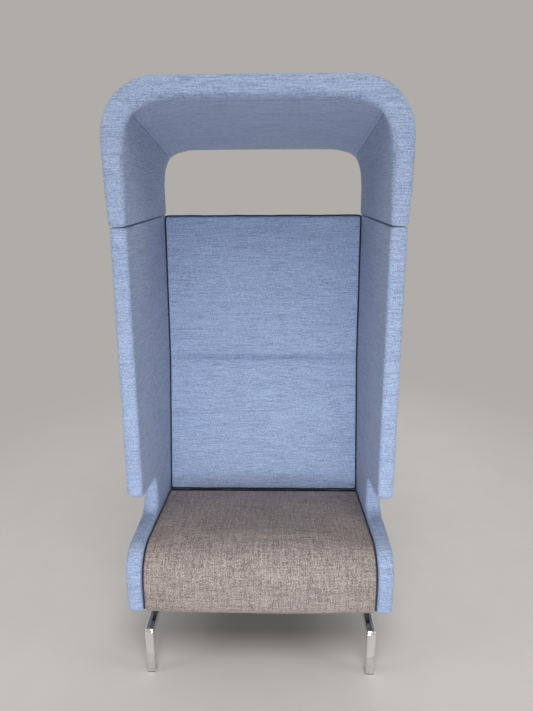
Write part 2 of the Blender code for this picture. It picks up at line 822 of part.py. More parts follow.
def back_layer(name, front, rear, foot, top, half):
    """A bent sheet that follows the back between two depths."""
    front_bend, rear_bend = bend_height(front), bend_height(rear)
    outline = [
        (back_line(foot, front), foot),
        (back_line(foot, rear), foot),
        (back_line(rear_bend, rear), rear_bend),
        (back_line(top, rear), top),
        (back_line(top, front), top),
        (back_line(front_bend, front), front_bend),
    ]
    return flat_mesh(name, [outline], 2 * half)


def make_back():
    board_half = CUSHION_HALF - BACK_BOARD_MARGIN
    board = back_layer("back_board", BOARD_FRONT, BOARD_REAR, CUSHION_FLOOR, BOARD_TOP - FIT, board_half)
    add_part("back_board", board, "plywood", UPRIGHT)
    cover = back_layer("back_cover", COVER_FRONT, COVER_REAR, COVER_FOOT, BACK_TOP_HEIGHT, BASE_HALF)
    cover_part = add_part("back_cover", cover, "blue_fabric", UPRIGHT)

    def weight(edge):
        behind = all(v.co.x > back_line(v.co.y, COVER_REAR) - FIT for v in edge.verts)
        return float(behind and is_sharp(edge))

    round_edges(cover_part, BACK_COVER_THICK / 2, weight)
    for level, height in BRACKET_HEIGHTS.items():
        for label, side in SIDES.items():
            make_bracket(f"back_bracket_{label}_{level}", side, height)


def make_bracket(name, side, height):
    """An angle bracket: one leaf behind the board, the other forward along the side panel."""
    outer = side * BASE_HALF
    inner = side * (BASE_HALF - BRACKET_THICK)
    arm = side * (BASE_HALF - BRACKET_ARM)
    tip = BRACKET_REAR - BRACKET_REACH
    outline = [
        (arm, BRACKET_FRONT),
        (inner, BRACKET_FRONT),
        (inner, tip),
        (outer, tip),
        (outer, BRACKET_REAR),
        (arm, BRACKET_REAR),
    ]
    lean = UPPER_RECLINE if height > BACK_BEND_HEIGHT else LOWER_RECLINE
    lay_back = Matrix.Rotation(-lean, 4, "X")
    place = Matrix.Translation(world(0, back_line(height, 0), height)) @ lay_back
    add_part(name, flat_mesh("back_bracket", [outline], BRACKET_LENGTH), "zinc_steel", place)


# Seat base


def make_base():
    front = (BASE_SETBACK, BASE_SETBACK + BASE_BOARD)
    rear = (BASE_REAR - BASE_BOARD, BASE_REAR)
    for label, (near, far) in {"front": front, "rear": rear}.items():
        name = f"base_rail_{label}"
        low, high = world(-BASE_HALF, near, BASE_UNDERSIDE), world(BASE_HALF, far, BASE_TOP)
        add_part(name, box_mesh(name, low, high), "black_timber")
    near, far = front[1] + FIT, rear[0] - FIT
    for label, side in SIDES.items():
        name = f"base_rail_{label}"
        inside, outside = sorted((side * (BASE_HALF - BASE_BOARD), side * BASE_HALF))
        low, high = world(inside, near, BASE_UNDERSIDE), world(outside, far, BASE_TOP)
        rail = add_part(name, box_mesh(name, low, high), "black_timber")
        hole = BOLT_DIAMETER / 2 + FIT
        cut(rail, hole_cutter(f"rail_side_holes_{label}", bolt_places(side), hole,
                              -BASE_BOARD, 2 * BASE_BOARD))
        cut(rail, hole_cutter(f"rail_leg_holes_{label}", leg_bolt_places(side), hole,
                              -FIT, LEG_SECTION + BOLT_GRIP + FIT))
        for end, u, inward in (("front", near, 1), ("rear", far, -1)):
            make_corner_block(f"corner_block_{label}_{end}", side, u, inward)
    for step in range(WEB_COUNT):
        name = f"seat_web_{step + 1}"
        x = (step - (WEB_COUNT - 1) / 2) * WEB_PITCH
        low = world(x - WEB_WIDTH / 2, BASE_SETBACK, WEB_BOTTOM)
        high = world(x + WEB_WIDTH / 2, BASE_REAR, WEB_TOP)
        add_part(name, box_mesh(name, low, high), "webbing")
    cloth_half = LEG_SPACING / 2 - LEG_SECTION / 2 - DUST_COVER_MARGIN
    cloth_top = BASE_UNDERSIDE - FIT
    low = world(-cloth_half, BASE_SETBACK, cloth_top - DUST_COVER_THICK)
    high = world(cloth_half, BASE_REAR, cloth_top)
    add_part("dust_cover", box_mesh("dust_cover", low, high), "black_cloth")


def make_corner_block(name, side, u, inward):
    """A three-cornered block in a corner of the base."""
    corner = world(side * (BASE_HALF - BASE_BOARD - FIT), u, BASE_TOP - BLOCK_HEIGHT / 2)
    triangle = [(0, 0), (-side * BLOCK_LEG, 0), (0, inward * BLOCK_LEG)]
    block = flat_mesh("corner_block", [triangle], BLOCK_HEIGHT)
    add_part(name, block, "plywood", Matrix.Translation(corner))


# Leg frames


def leg_outline():
    """A leg frame from the side: front leg, rail and rear leg, bent from one tube."""
    foot = GLIDE_THICK + FIT
    inside = LEG_TOP - LEG_SECTION
    return rounded([
        (LEG_FRONT, foot, 0),
        (LEG_FRONT + LEG_SECTION, foot, 0),
        (LEG_FRONT + LEG_SECTION, inside, LEG_INNER_RADIUS),
        (LEG_REAR - LEG_SECTION, inside, LEG_INNER_RADIUS),
        (LEG_REAR - LEG_SECTION, foot, 0),
        (LEG_REAR, foot, 0),
        (LEG_REAR, LEG_TOP, LEG_BEND_RADIUS),
        (LEG_FRONT, LEG_TOP, LEG_BEND_RADIUS),
    ])


def leg_weight(edge):
    at_foot = all(vert.co.y < GLIDE_THICK + 2 * FIT for vert in edge.verts)
    return float(is_sharp(edge) and not at_foot)


def make_legs():
    glide = glide_mesh()
    bolt = profile_mesh("leg_bolt", bolt_profile(LEG_SECTION + BOLT_GRIP))
    feet = {"front": LEG_FRONT + LEG_SECTION / 2, "rear": LEG_REAR - LEG_SECTION / 2}
    for label, side in SIDES.items():
        x = side * LEG_SPACING / 2
        at_leg = Matrix.Translation((x, 0, 0)) @ UPRIGHT
        outline = flat_mesh("leg_frame", [leg_outline()], LEG_SECTION)
        frame = add_part(f"leg_frame_{label}", outline, "chrome", at_leg)
        round_edges(frame, LEG_ROUND, leg_weight)
        for end, u in feet.items():
            add_part(f"floor_glide_{label}_{end}", glide, "black_plastic",
                     Matrix.Translation(world(x, u, 0)))
            cut(frame, glide_socket(f"glide_socket_{label}_{end}", x, u))
        cut(frame, hole_cutter(f"leg_bolt_holes_{label}", leg_bolt_places(side),
                               BOLT_DIAMETER / 2 + FIT, -LEG_SECTION, 2 * LEG_SECTION))
        for end, place in leg_bolt_places(side).items():
            turn_about_axis(add_part(f"leg_bolt_{label}_{end}", bolt, "zinc_steel", place))


def glide_socket(name, x, u):
    half = SPIGOT_SIDE / 2 + FIT
    low = world(x - half, u - half, 0)
    high = world(x + half, u + half, GLIDE_THICK + SPIGOT_HEIGHT + 2 * FIT)
    return add_cutter(name, box_mesh(name, low, high))


def glide_mesh():
    """A square glide with a spigot that plugs into the foot of a leg."""
    bm = bmesh.new()
    pad = Matrix.Translation((0, 0, GLIDE_THICK / 2))
    pad = pad @ Matrix.Diagonal((GLIDE_SIDE, GLIDE_SIDE, GLIDE_THICK, 1))
    bmesh.ops.create_cube(bm, size=1, matrix=pad)
    top = max(bm.faces, key=lambda face: face.calc_center_median().z)
    ledge = (GLIDE_SIDE - SPIGOT_SIDE) / 2
    bmesh.ops.inset_individual(bm, faces=[top], thickness=ledge, use_even_offset=True)
    spigot = bmesh.ops.extrude_discrete_faces(bm, faces=[top])["faces"][0]
    bmesh.ops.translate(bm, vec=(0, 0, SPIGOT_HEIGHT + FIT), verts=spigot.verts)
    return to_mesh("floor_glide", bm)


# Bolts between the base and the side panels


def make_panel_bolts():
    bolt = profile_mesh("panel_bolt", bolt_profile(PANEL_BOLT_LENGTH))
    bore, wall = BOLT_DIAMETER / 2 + FIT, INSERT_DIAMETER / 2
    low, high = INSERT_START, INSERT_START + CORE_THICK
    insert = profile_mesh(
        "panel_insert", [(bore, high), (wall, high), (wall, low), (bore, low)], closed=True
    )
    for label, side in SIDES.items():
        for end, place in bolt_places(side).items():
            turn_about_axis(add_part(f"panel_bolt_{label}_{end}", bolt, "zinc_steel", place))
            turn_about_axis(add_part(f"panel_insert_{label}_{end}", insert, "zinc_steel", place))


for side_label, side_sign in SIDES.items():
    make_side(side_label, side_sign)
make_hood()
make_seat_cushion()
make_back_cushion()
make_piping()
make_back()
make_base()
make_legs()
make_panel_bolts()
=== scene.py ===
"""Looks of the pod sofa: padded covers, piping, seams and finishes around its solids.

Metres, +Z up, the sitter faces -Y. Left and right are as seen from the front.
Drawings are in (u, z): u is the depth behind the side panels' front edge, z the height above the floor.
"""

from contextlib import contextmanager
import math

import bmesh
import bpy
import numpy as np
from mathutils import Matrix, Vector, noise
from mathutils.bvhtree import BVHTree


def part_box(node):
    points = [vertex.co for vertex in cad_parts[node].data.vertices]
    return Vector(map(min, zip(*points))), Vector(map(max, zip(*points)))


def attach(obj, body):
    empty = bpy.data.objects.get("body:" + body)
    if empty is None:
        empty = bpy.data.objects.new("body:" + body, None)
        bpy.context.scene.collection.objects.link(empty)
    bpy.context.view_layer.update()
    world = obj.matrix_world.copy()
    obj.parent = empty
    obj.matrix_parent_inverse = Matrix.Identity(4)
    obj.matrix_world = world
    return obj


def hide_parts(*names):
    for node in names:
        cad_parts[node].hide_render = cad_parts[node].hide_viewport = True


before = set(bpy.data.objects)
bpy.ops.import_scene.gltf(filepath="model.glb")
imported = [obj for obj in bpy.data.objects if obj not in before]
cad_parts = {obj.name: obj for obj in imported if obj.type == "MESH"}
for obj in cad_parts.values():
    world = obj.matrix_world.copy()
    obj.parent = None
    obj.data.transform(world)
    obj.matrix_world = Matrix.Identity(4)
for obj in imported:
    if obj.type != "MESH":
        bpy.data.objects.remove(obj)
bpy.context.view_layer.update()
SIDES = {"left": -1, "right": 1}

# Side panels
PANEL_LOW, PANEL_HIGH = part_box("side_panel_right")
FRONT = PANEL_LOW.y
INNER = PANEL_LOW.x
OUTER = PANEL_HIGH.x
PANEL_THICK = OUTER - INNER
PANEL_MIDDLE = (OUTER + INNER) / 2
PANEL_UNDERSIDE = PANEL_LOW.z
DEPTH = PANEL_HIGH.y - FRONT
PANEL_ROUND = 0.013
PANEL_TOE_RADIUS = 0.032
PANEL_HEEL_RADIUS = 0.040
PANEL_REVEAL = 0.002
REAR_BEND_RADIUS = 0.300
ARM_HEIGHT = 0.450
ARM_NOSE_RADIUS = 0.090
NOTCH_DEPTH = 0.286
NOTCH_TOP = 0.575
NOTCH_UPPER_RADIUS = 0.035
NOTCH_LOWER_RADIUS = 0.050
WING_FOOT = 0.598
WING_SETBACK = 0.083
WING_TOE_RADIUS = 0.035

# Seam between the wings and the hood
SEAM_HEIGHT = 1.451
SEAM_RISE = 0.034
SEAM_SETBACK = 0.111
SEAM_GAP = 0.0006

# Hood and its lining
HOOD_HEIGHT = 1.844
HOOD_FALL = 0.076
HOOD_SETBACK = 0.094
HOOD_REAR_LEAN = 0.018
HOOD_RADIUS = 0.157
HOOD_FULLNESS = 0.0045
HOOD_FOOT_TUCK = 0.0020
HOOD_FOOT_RUN = 0.10
RIM_CORNER = 0.150
WINDOW_CORNER = 0.105
SEAM_CORNER = 0.200
RIM_CREASE = math.radians(8)
SEAM_CREASE = math.radians(60)
RIM_EASE = 0.060
CREASE_GROOVE = 0.0020
CREASE_ROWS = (1, 0.80, 0.62, 0.46, 0.33, 0.22, 0.14, 0.085, 0.066, 0.035, 0.012, 0)
TAPE_ROWS = (1, 2, 3)
TAPE_HEIGHT = 0.0014
RIM_SEAM = 0.009
RIM_SEAM_WIDTH = 0.003
RIM_SEAM_DEPTH = 0.0016

# Seat cushion, and how far a cushion stays from what it lies against
CUSHION_GAP = 0.0003
SEAT_SETBACK = 0.007
SEAT_FRONT_HEIGHT = 0.446
SEAT_REAR_HEIGHT = 0.406
SEAT_DEPTH = 0.511
SEAT_UNDERSIDE = 0.230
SEAT_NOSE_RADIUS = 0.100
SEAT_TOE_RADIUS = 0.022
SEAT_HEEL_RADIUS = 0.020
SEAT_CROWN = 0.011
SEAT_CROWN_RUN = 0.140
SEAT_FACING = math.cos(math.radians(60))
ON_BASE_RUN = 0.003
ON_BASE_RISE = 0.006
BASE_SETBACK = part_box("base_rail_front")[0].y - FRONT
CUSHION_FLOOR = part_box("seat_web_1")[1].z + CUSHION_GAP

# Back, with depths behind its front surface
BACK_FOOT_HEIGHT = 0.402
BACK_BEND_HEIGHT = 0.930
BACK_TOP_HEIGHT = 1.479
LOWER_RECLINE = math.radians(12.2)
UPPER_RECLINE = math.radians(3.8)
BACK_PAD_THICK = 0.024
BACK_WRAP_REAR = 0.0376
BACK_TOP_WRAP = 0.014
BACK_TOP_ROUND = 0.010
BACK_CROWN = 0.008
BACK_CHANNEL = 0.005
BACK_CHANNEL_WIDTH = 0.045
BACK_SEAM = 0.012
BACK_SEAM_WIDTH = 0.008
COVER_FRONT = 0.0379
COVER_REAR = 0.0459
COVER_CROWN = 0.002
COVER_BEND_RADIUS = 0.15

# Edges of the cushions and their piping, whose line strays in waves of (rate, shift, size)
PIPING_RADIUS = 0.0028
PIPING_PLACE = INNER - 0.0032
PIPING_LIFT = 0.0006
JOINT_LIFT = 0.0035
CUSHION_HALF = INNER - 0.002
CUSHION_ROUND = 0.0075
PIPING_TURN = 0.008
PIPING_STRAY = 0.0005
PIPING_WAVES = ((31, 1, 1), (73, 2.4, 0.6))
PIPING_STEP = 0.006
PIPING_HOLD = 0.03
TOP_CORD_LEAN = 0.35

# Stitches: pitch, length and thickness, and how far they stand proud of the cloth
HOOD_STITCH = {"pitch": 0.007, "length": 0.0050, "thickness": 0.0014}
HOOD_STITCH_LIFT = 0.0004
COVER_STITCH = {"pitch": 0.009, "length": 0.005, "thickness": 0.0012}
COVER_STITCH_LIFT = 0.0002

# Cloth under the seat
STRAP_STEP = 0.010
STRAP_DIP = 0.003
STRAP_HOLD = (0.06, 0.2)
DUST_COVER_STEP = 0.012
DUST_COVER_THICK = 0.0008
DUST_COVER_SAG = 0.004
DUST_COVER_SAG_RUN = (0.02, 0.25)
DUST_COVER_HOLD = (0.01, 0.06)
STAPLE = {"pitch": 0.045, "width": 0.010, "wire": 0.0011}
STAPLE_INSET = 0.012
STAPLE_LIFT = 0.0002

# Meshes and the covers' tension
STEP = 0.010
VOXEL = 0.008
ARC_STEP = math.radians(6)
RIM_STEPS = 5
SWELL_FRAMES = 20
SMOOTH_ANGLE = math.radians(35)

# Runs over which a cover comes free: from a seam, from the next cushion, or from its own edges
SEAM_HOLD = (0.003, 0.035)
BACK_HOLD = (0.03, 0.10)
SEAT_HOLD = (0.01, 0.09)
INNER_SIDE_FREEDOM = 0.6
SEAT_EDGE_HOLD = (CUSHION_ROUND, 0.10)
SEAT_LEAN_HOLD = (0.1, 0.8)
BACK_EDGE_HOLD = (CUSHION_ROUND, 0.09)
BACK_SEAM_HOLD = (0.012, 0.06)
BACK_FOOT_HOLD = 0.08
BACK_TOP_HOLD = 0.06
COVER_EDGE_HOLD = 0.09
COVER_END_HOLD = 0.12

# Camera, as the photograph's: its place, its turns, and its focal length as a share of the frame's height
CAMERA_PLACE = Vector((0.055, FRONT - 1.457, 1.495))
CAMERA_PITCH = math.radians(15)
CAMERA_YAW = math.radians(-1.155)
CAMERA_ROLL = math.radians(-0.24)
FOCAL_SHARE = 537 / 711
SENSOR = 36.0


# Finishes


class Nodes:
    """A node tree, built a node at a time. Shader nodes are named without their prefix."""

    def __init__(self, tree):
        self.tree = tree
        self.nodes = tree.nodes
        self.links = tree.links

    def fill(self, socket, value):
        if isinstance(value, bpy.types.NodeSocket):
            self.links.new(value, socket)
        else:
            socket.default_value = value

    def add(self, kind, inputs=None, out=0, **settings):
        node = self.nodes.new(kind if "Node" in kind else "ShaderNode" + kind)
        for key, value in settings.items():
            setattr(node, key, value)
        for key, value in (inputs or {}).items():
            self.fill(node.inputs[key], value)
        return node.outputs[out]

    def math(self, operation, *values):
        return self.add("Math", dict(enumerate(values)), operation=operation)


class Finish(Nodes):
    """A material with the principled shader."""

    def __init__(self, name, **shader):
        self.material = bpy.data.materials.new(name)
        self.material.use_nodes = True
        super().__init__(self.material.node_tree)
        self.shader = self.nodes["Principled BSDF"]
        for words, value in shader.items():
            self.shade(words.replace("_", " ").title(), value)

    def shade(self, socket, value):
        self.fill(self.shader.inputs[socket.replace("Ior", "IOR")], value)

    def place(self, uv=None):
        """The X, Y and Z of the weave's own map, or of the piece itself."""
        if uv:
            vector = self.add("UVMap", uv_map=uv)
        else:
            vector = self.add("TexCoord", out="Object")
        return self.add("SeparateXYZ", {0: vector}).node.outputs

    def noise(self, scales, place, detail=2.0, lift=0.0):
        """Soft noise whose grain is set by a scale along each axis."""
        parts = [self.math("MULTIPLY_ADD", axis, scale, lift) for axis, scale in zip(place, scales)]
        vector = self.add("CombineXYZ", dict(enumerate(parts)))
        return self.add("TexNoise", {"Vector": vector, "Scale": 1.0, "Detail": detail})

    def colour(self, factor, *stops):
        """The colour of the surface, from a ramp of (position, colour) stops."""
        ramp = self.add("ValToRGB", {0: factor})
        elements = ramp.node.color_ramp.elements
        while len(elements) < len(stops):
            elements.new(1.0)
        for element, (position, colour) in zip(elements, stops):
            element.position = position
            element.color = (*colour, 1)
        self.shade("Base Color", ramp)

    def spread(self, value, low, high, new_low, new_high):
        return self.add("MapRange", {0: value, 1: low, 2: high, 3: new_low, 4: new_high})

    def bump(self, height, distance, strength=1.0):
        normal = self.add("Bump", {"Height": height, "Distance": distance, "Strength": strength})
        self.shade("Normal", normal)


WEAVE = "weave"
GOLDEN = 1.618


def woven(name, stops, pitch, weft_run, warp_run, weft_share, streak, grain, slub, check, relief):
    """Cloth of crossing threads: streaks along each one, a tone of its own at each crossing, slubs, and
    painted shade that darkens each thread towards its edges.

    The runs are the lengths of the streaks. The amounts from streak to check weigh the patterns.
    """
    cloth = Finish(name, roughness=0.9, sheen_weight=0.2, sheen_roughness=0.45, specular_ior_level=0.25)
    u, v, _ = cloth.place(WEAVE)
    across, along = cloth.math("DIVIDE", u, pitch), cloth.math("DIVIDE", v, pitch)
    column, row = cloth.math("FLOOR", across), cloth.math("FLOOR", along)
    weft = cloth.noise((1 / weft_run, GOLDEN, 0), (u, row, v), detail=1.0, lift=3.7)
    warp = cloth.noise((GOLDEN, 1 / warp_run, 0), (column, v, u), detail=1.0, lift=41.3)
    threads = cloth.add("Mix", {0: weft_share, 2: warp, 3: weft})
    stagger = cloth.math("FLOOR", cloth.math("MULTIPLY_ADD", row, GOLDEN - 1, across))
    crossing = cloth.add("TexWhiteNoise", {"Vector": cloth.add("CombineXYZ", {0: stagger, 1: row})})
    thick_row = cloth.math("FLOOR", cloth.math("DIVIDE", v, 2 * pitch))
    slubs = cloth.noise((7.0, GOLDEN + 1, 0), (u, thick_row, v), lift=17.9)
    clouds = cloth.noise((5.0, 7.0, 0), (u, v, v), detail=3.0, lift=8.1)
    over = cloth.math("FLOORED_MODULO", cloth.math("ADD", row, column), 2.0)
    round_weft, round_warp = (
        cloth.math("ABSOLUTE", cloth.math("SINE", cloth.math("MULTIPLY", axis, math.pi / pitch)))
        for axis in (v, u)
    )
    height = cloth.add("Mix", {0: over, 2: round_weft, 3: round_warp})
    # The threads' height also goes into the colour, lighter on their crowns and darker between them:
    # painted shade.
    patterns = (
        (threads, streak), (crossing, grain), (slubs, slub), (clouds, 0.06), (over, -check), (height, 0.12),
    )
    tone = 0.5
    for pattern, amount in patterns:
        tone = cloth.math("MULTIPLY_ADD", cloth.math("SUBTRACT", pattern, 0.5), amount, tone)
    cloth.colour(tone, *stops)
    cloth.bump(cloth.math("MULTIPLY_ADD", tone, 0.8, height), relief, 0.6)
    return cloth.material


def blue_fabric():
    """Melange wool cloth with long weft streaks."""
    stops = [
        (0.28, (0.165, 0.198, 0.310)),
        (0.43, (0.262, 0.322, 0.480)),
        (0.55, (0.340, 0.420, 0.602)),
        (0.72, (0.470, 0.555, 0.725)),
    ]
    return woven("blue_melange_wool", stops, pitch=0.0016, weft_run=0.040, warp_run=0.006, weft_share=0.62,
                 streak=0.75, grain=0.34, slub=0.29, check=0.05, relief=0.0004)


def brown_tweed():
    """Coarse seat cloth of grey, brown and pink yarns, in even streaks both ways."""
    stops = [
        (0.28, (0.080, 0.063, 0.058)),
        (0.42, (0.194, 0.154, 0.139)),
        (0.55, (0.330, 0.266, 0.241)),
        (0.74, (0.590, 0.490, 0.440)),
    ]
    return woven("brown_tweed", stops, pitch=0.0022, weft_run=0.060, warp_run=0.060, weft_share=0.5,
                 streak=0.60, grain=0.28, slub=0.04, check=0.10, relief=0.0006)


def navy_piping():
    """Bias-cut cloth drawn round a cord: fine ribs that run slantwise."""
    cord = Finish("navy_piping_cloth", roughness=0.85, sheen_weight=0.15)
    ribs_per_metre, ribs_per_turn = 700.0, 0.9
    along, around, _ = cord.place(WEAVE)
    slant = cord.math("MULTIPLY_ADD", around, ribs_per_turn, cord.math("MULTIPLY", along, ribs_per_metre))
    rib = cord.math("SINE", cord.math("MULTIPLY", slant, 2 * math.pi))
    fibre = cord.noise((900.0, 6.0, 0), (along, around, around))
    cord.colour(fibre, (0.3, (0.005, 0.008, 0.020)), (0.7, (0.018, 0.024, 0.056)))
    cord.bump(rib, 0.0003, 0.5)
    return cord.material


def sewing_thread():
    """Twisted thread of the seams."""
    thread = Finish("blue_sewing_thread", roughness=0.6, sheen_weight=0.2)
    x, y, z = thread.place()
    twist = thread.math("SINE", thread.noise((900.0, 900.0, 900.0), (x, y, z)))
    thread.colour(twist, (0.3, (0.10, 0.13, 0.26)), (0.6, (0.20, 0.25, 0.44)))
    thread.bump(twist, 0.0001, 0.4)
    return thread.material


def chrome():
    """Polished plating with faint wiping marks."""
    plate = Finish("polished_chrome", metallic=1.0, base_color=(0.95, 0.95, 0.955, 1))
    x, y, z = plate.place()
    wipes = plate.noise((60.0, 60.0, 25.0), (x, y, z), detail=3.0)
    plate.shade("Roughness", plate.spread(wipes, 0.3, 0.7, 0.05, 0.09))
    plate.bump(plate.noise((12.0, 12.0, 5.0), (x, y, z), detail=0.0), 0.0002, 0.05)
    return plate.material


def plywood():
    """Birch ply: pale faces with drawn-out grain, and darker glue lines between its layers."""
    board = Finish("birch_plywood", roughness=0.6)
    layer = 0.0015
    x, y, z = board.place()
    grain = board.noise((60.0, 60.0, 4.0), (x, y, z), detail=5.0)
    layers = board.math("ABSOLUTE", board.math("SINE", board.math("MULTIPLY", x, math.pi / layer)))
    tone = board.math("MULTIPLY_ADD", layers, 0.12, board.math("MULTIPLY", grain, 0.88))
    board.colour(tone, (0.3, (0.36, 0.23, 0.12)), (0.6, (0.60, 0.45, 0.28)))
    board.bump(grain, 0.0004, 0.4)
    return board.material


def webbing():
    """Elastic strap woven in a herringbone."""
    strap = Finish("seat_webbing", roughness=0.9)
    chevron, pitch = 0.006, 0.003
    u, v, _ = strap.place(WEAVE)
    fold = strap.math("PINGPONG", u, chevron)
    rib = strap.math("SINE", strap.math("MULTIPLY", strap.math("ADD", v, fold), 2 * math.pi / pitch))
    yarn = strap.noise((400.0, 40.0, 0), (u, v, v))
    tone = strap.math("MULTIPLY_ADD", rib, 0.15, yarn)
    strap.colour(tone, (0.3, (0.02, 0.02, 0.022)), (0.7, (0.09, 0.088, 0.085)))
    strap.bump(rib, 0.0003, 0.6)
    return strap.material


def black_cloth():
    """Unwoven underlining, pressed in small dots."""
    lining = Finish("black_underlining", roughness=0.95)
    pitch = 0.0025
    x, y, _ = lining.place()
    dots = lining.math("MULTIPLY", *(
        lining.math("SINE", lining.math("MULTIPLY", axis, 2 * math.pi / pitch)) for axis in (x, y)
    ))
    fibre = lining.noise((500.0, 500.0, 0), (x, y, y), detail=4.0)
    lining.colour(fibre, (0.3, (0.008, 0.008, 0.009)), (0.7, (0.03, 0.03, 0.032)))
    lining.bump(lining.math("MULTIPLY_ADD", fibre, 0.7, dots), 0.0002, 0.6)
    return lining.material


def grained(name, scales, detail, stops, roughness, relief=None, **shader):
    """A finish whose tone, roughness and relief all follow one noise."""
    finish = Finish(name, **shader)
    grain = finish.noise(scales, finish.place(), detail)
    finish.colour(grain, *stops)
    finish.shade("Roughness", finish.spread(grain, 0.3, 0.7, *roughness))
    if relief:
        finish.bump(grain, *relief)
    return finish.material


def black_timber():
    """Hardwood rails stained black, with the grain still showing."""
    stops = [(0.35, (0.008, 0.008, 0.008)), (0.7, (0.035, 0.032, 0.030))]
    return grained("black_stained_timber", (7.0, 90.0, 90.0), 5.0, stops,
                   roughness=(0.45, 0.7), relief=(0.0005, 0.5))


def zinc_steel():
    """Zinc-plated steel, dull and slightly mottled."""
    stops = [(0.3, (0.42, 0.42, 0.43)), (0.7, (0.62, 0.62, 0.60))]
    return grained("zinc_plated_steel", (260.0, 260.0, 260.0), 3.0, stops,
                   roughness=(0.28, 0.5), metallic=1.0)


def black_plastic():
    """Moulded nylon with a fine grain."""
    stops = [(0.3, (0.018, 0.018, 0.018)), (0.7, (0.04, 0.04, 0.04))]
    return grained("black_nylon", (1500.0, 1500.0, 1500.0), 2.0, stops,
                   roughness=(0.42, 0.6), relief=(0.0001, 0.5))


FINISHES = {
    make.__name__: make()
    for make in (
        blue_fabric, brown_tweed, navy_piping, sewing_thread, chrome, plywood,
        black_timber, webbing, black_cloth, zinc_steel, black_plastic,
    )
}


# Drawing tools


def back_line(z, depth):
    """u of the surface that lies this depth behind the back's front surface, at height z."""
    bend = SEAT_DEPTH + (BACK_BEND_HEIGHT - BACK_FOOT_HEIGHT) * math.tan(LOWER_RECLINE)
    rise = z - BACK_BEND_HEIGHT
    lower = bend + rise * math.tan(LOWER_RECLINE) + depth / math.cos(LOWER_RECLINE)
    upper = bend + rise * math.tan(UPPER_RECLINE) + depth / math.cos(UPPER_RECLINE)
    return np.minimum(lower, upper)


def bend_height(depth):
    """Height at which that surface bends."""
    gain = depth / math.cos(UPPER_RECLINE) - depth / math.cos(LOWER_RECLINE)
    return BACK_BEND_HEIGHT + gain / (math.tan(LOWER_RECLINE) - math.tan(UPPER_RECLINE))


def seam_line(u):
    return SEAM_HEIGHT + SEAM_RISE * (u - SEAM_SETBACK) / (DEPTH - SEAM_SETBACK)


def rounded(corners):
    """Points of a closed outline of (u, z, radius) corners, each corner turned on its arc."""
    points = []
    for i, (u, z, radius) in enumerate(corners):
        here = Vector((u, z))
        back = (Vector(corners[i - 1][:2]) - here).normalized()
        ahead = (Vector(corners[(i + 1) % len(corners)][:2]) - here).normalized()
        if radius <= 0:
            points.append(here)
            continue
        half = back.angle(ahead) / 2
        centre = here + (back + ahead).normalized() * (radius / math.sin(half))
        start = here + back * (radius / math.tan(half)) - centre
        turn = math.pi - 2 * half
        sign = 1 if ahead.cross(back) > 0 else -1
        steps = max(1, math.ceil(turn / ARC_STEP))
        for step in range(steps + 1):
            points.append(centre + Matrix.Rotation(sign * turn * step / steps, 2) @ start)
    return np.array(points)


def lengths(points):
    """Distance along a line to each of its points."""
    steps = np.linalg.norm(np.diff(points, axis=0), axis=1)
    return np.concatenate(([0.0], np.cumsum(steps)))


def even(points, step):
    """The same open line with its points spread evenly, about a step apart."""
    along = lengths(points)
    count = max(2, round(along[-1] / step) + 1)
    places = np.linspace(0, along[-1], count)
    return np.stack([np.interp(places, along, axis) for axis in np.asarray(points).T], axis=1)


def quarter_round(radius):
    """Steps round an edge: how far each is from the end, and how far below the surface."""
    turns = np.linspace(0, math.pi / 2, RIM_STEPS)
    return radius * (1 - np.sin(turns)), radius * (1 - np.cos(turns))


def eased(value, low, high):
    """0 below low and 1 above high, with a soft run between."""
    share = np.clip((np.asarray(value, float) - low) / (high - low), 0, 1)
    return share * share * (3 - 2 * share)


# Mesh tools


@contextmanager
def worked(mesh):
    """Opens a mesh to work on its points, edges and faces."""
    bm = bmesh.new()
    bm.from_mesh(mesh)
    yield bm
    bm.to_mesh(mesh)
    bm.free()


def read(items, word, width=1, kind=np.float32):
    """One property of a mesh's points, faces or corners, a row for each."""
    flat = np.empty(len(items) * width, kind)
    items.foreach_get(word, flat)
    return flat.reshape(-1, width) if width > 1 else flat


def new_piece(name, mesh, finish=None):
    piece = bpy.data.objects.new(name, mesh)
    bpy.context.scene.collection.objects.link(piece)
    if finish:
        mesh.materials.clear()
        mesh.materials.append(FINISHES[finish])
    return piece


def settle(piece):
    """Makes the piece a plain mesh, as its modifiers shape it."""
    graph = bpy.context.evaluated_depsgraph_get()
    mesh = bpy.data.meshes.new_from_object(piece.evaluated_get(graph))
    piece.modifiers.clear()
    old, piece.data = piece.data, mesh
    bpy.data.meshes.remove(old)


def points_of(piece):
    return read(piece.data.vertices, "co", 3).astype(float)


def set_points(piece, points):
    piece.data.vertices.foreach_set("co", np.asarray(points, np.float32).ravel())
    piece.data.update()


def normals_of(piece):
    return read(piece.data.vertices, "normal", 3).astype(float)


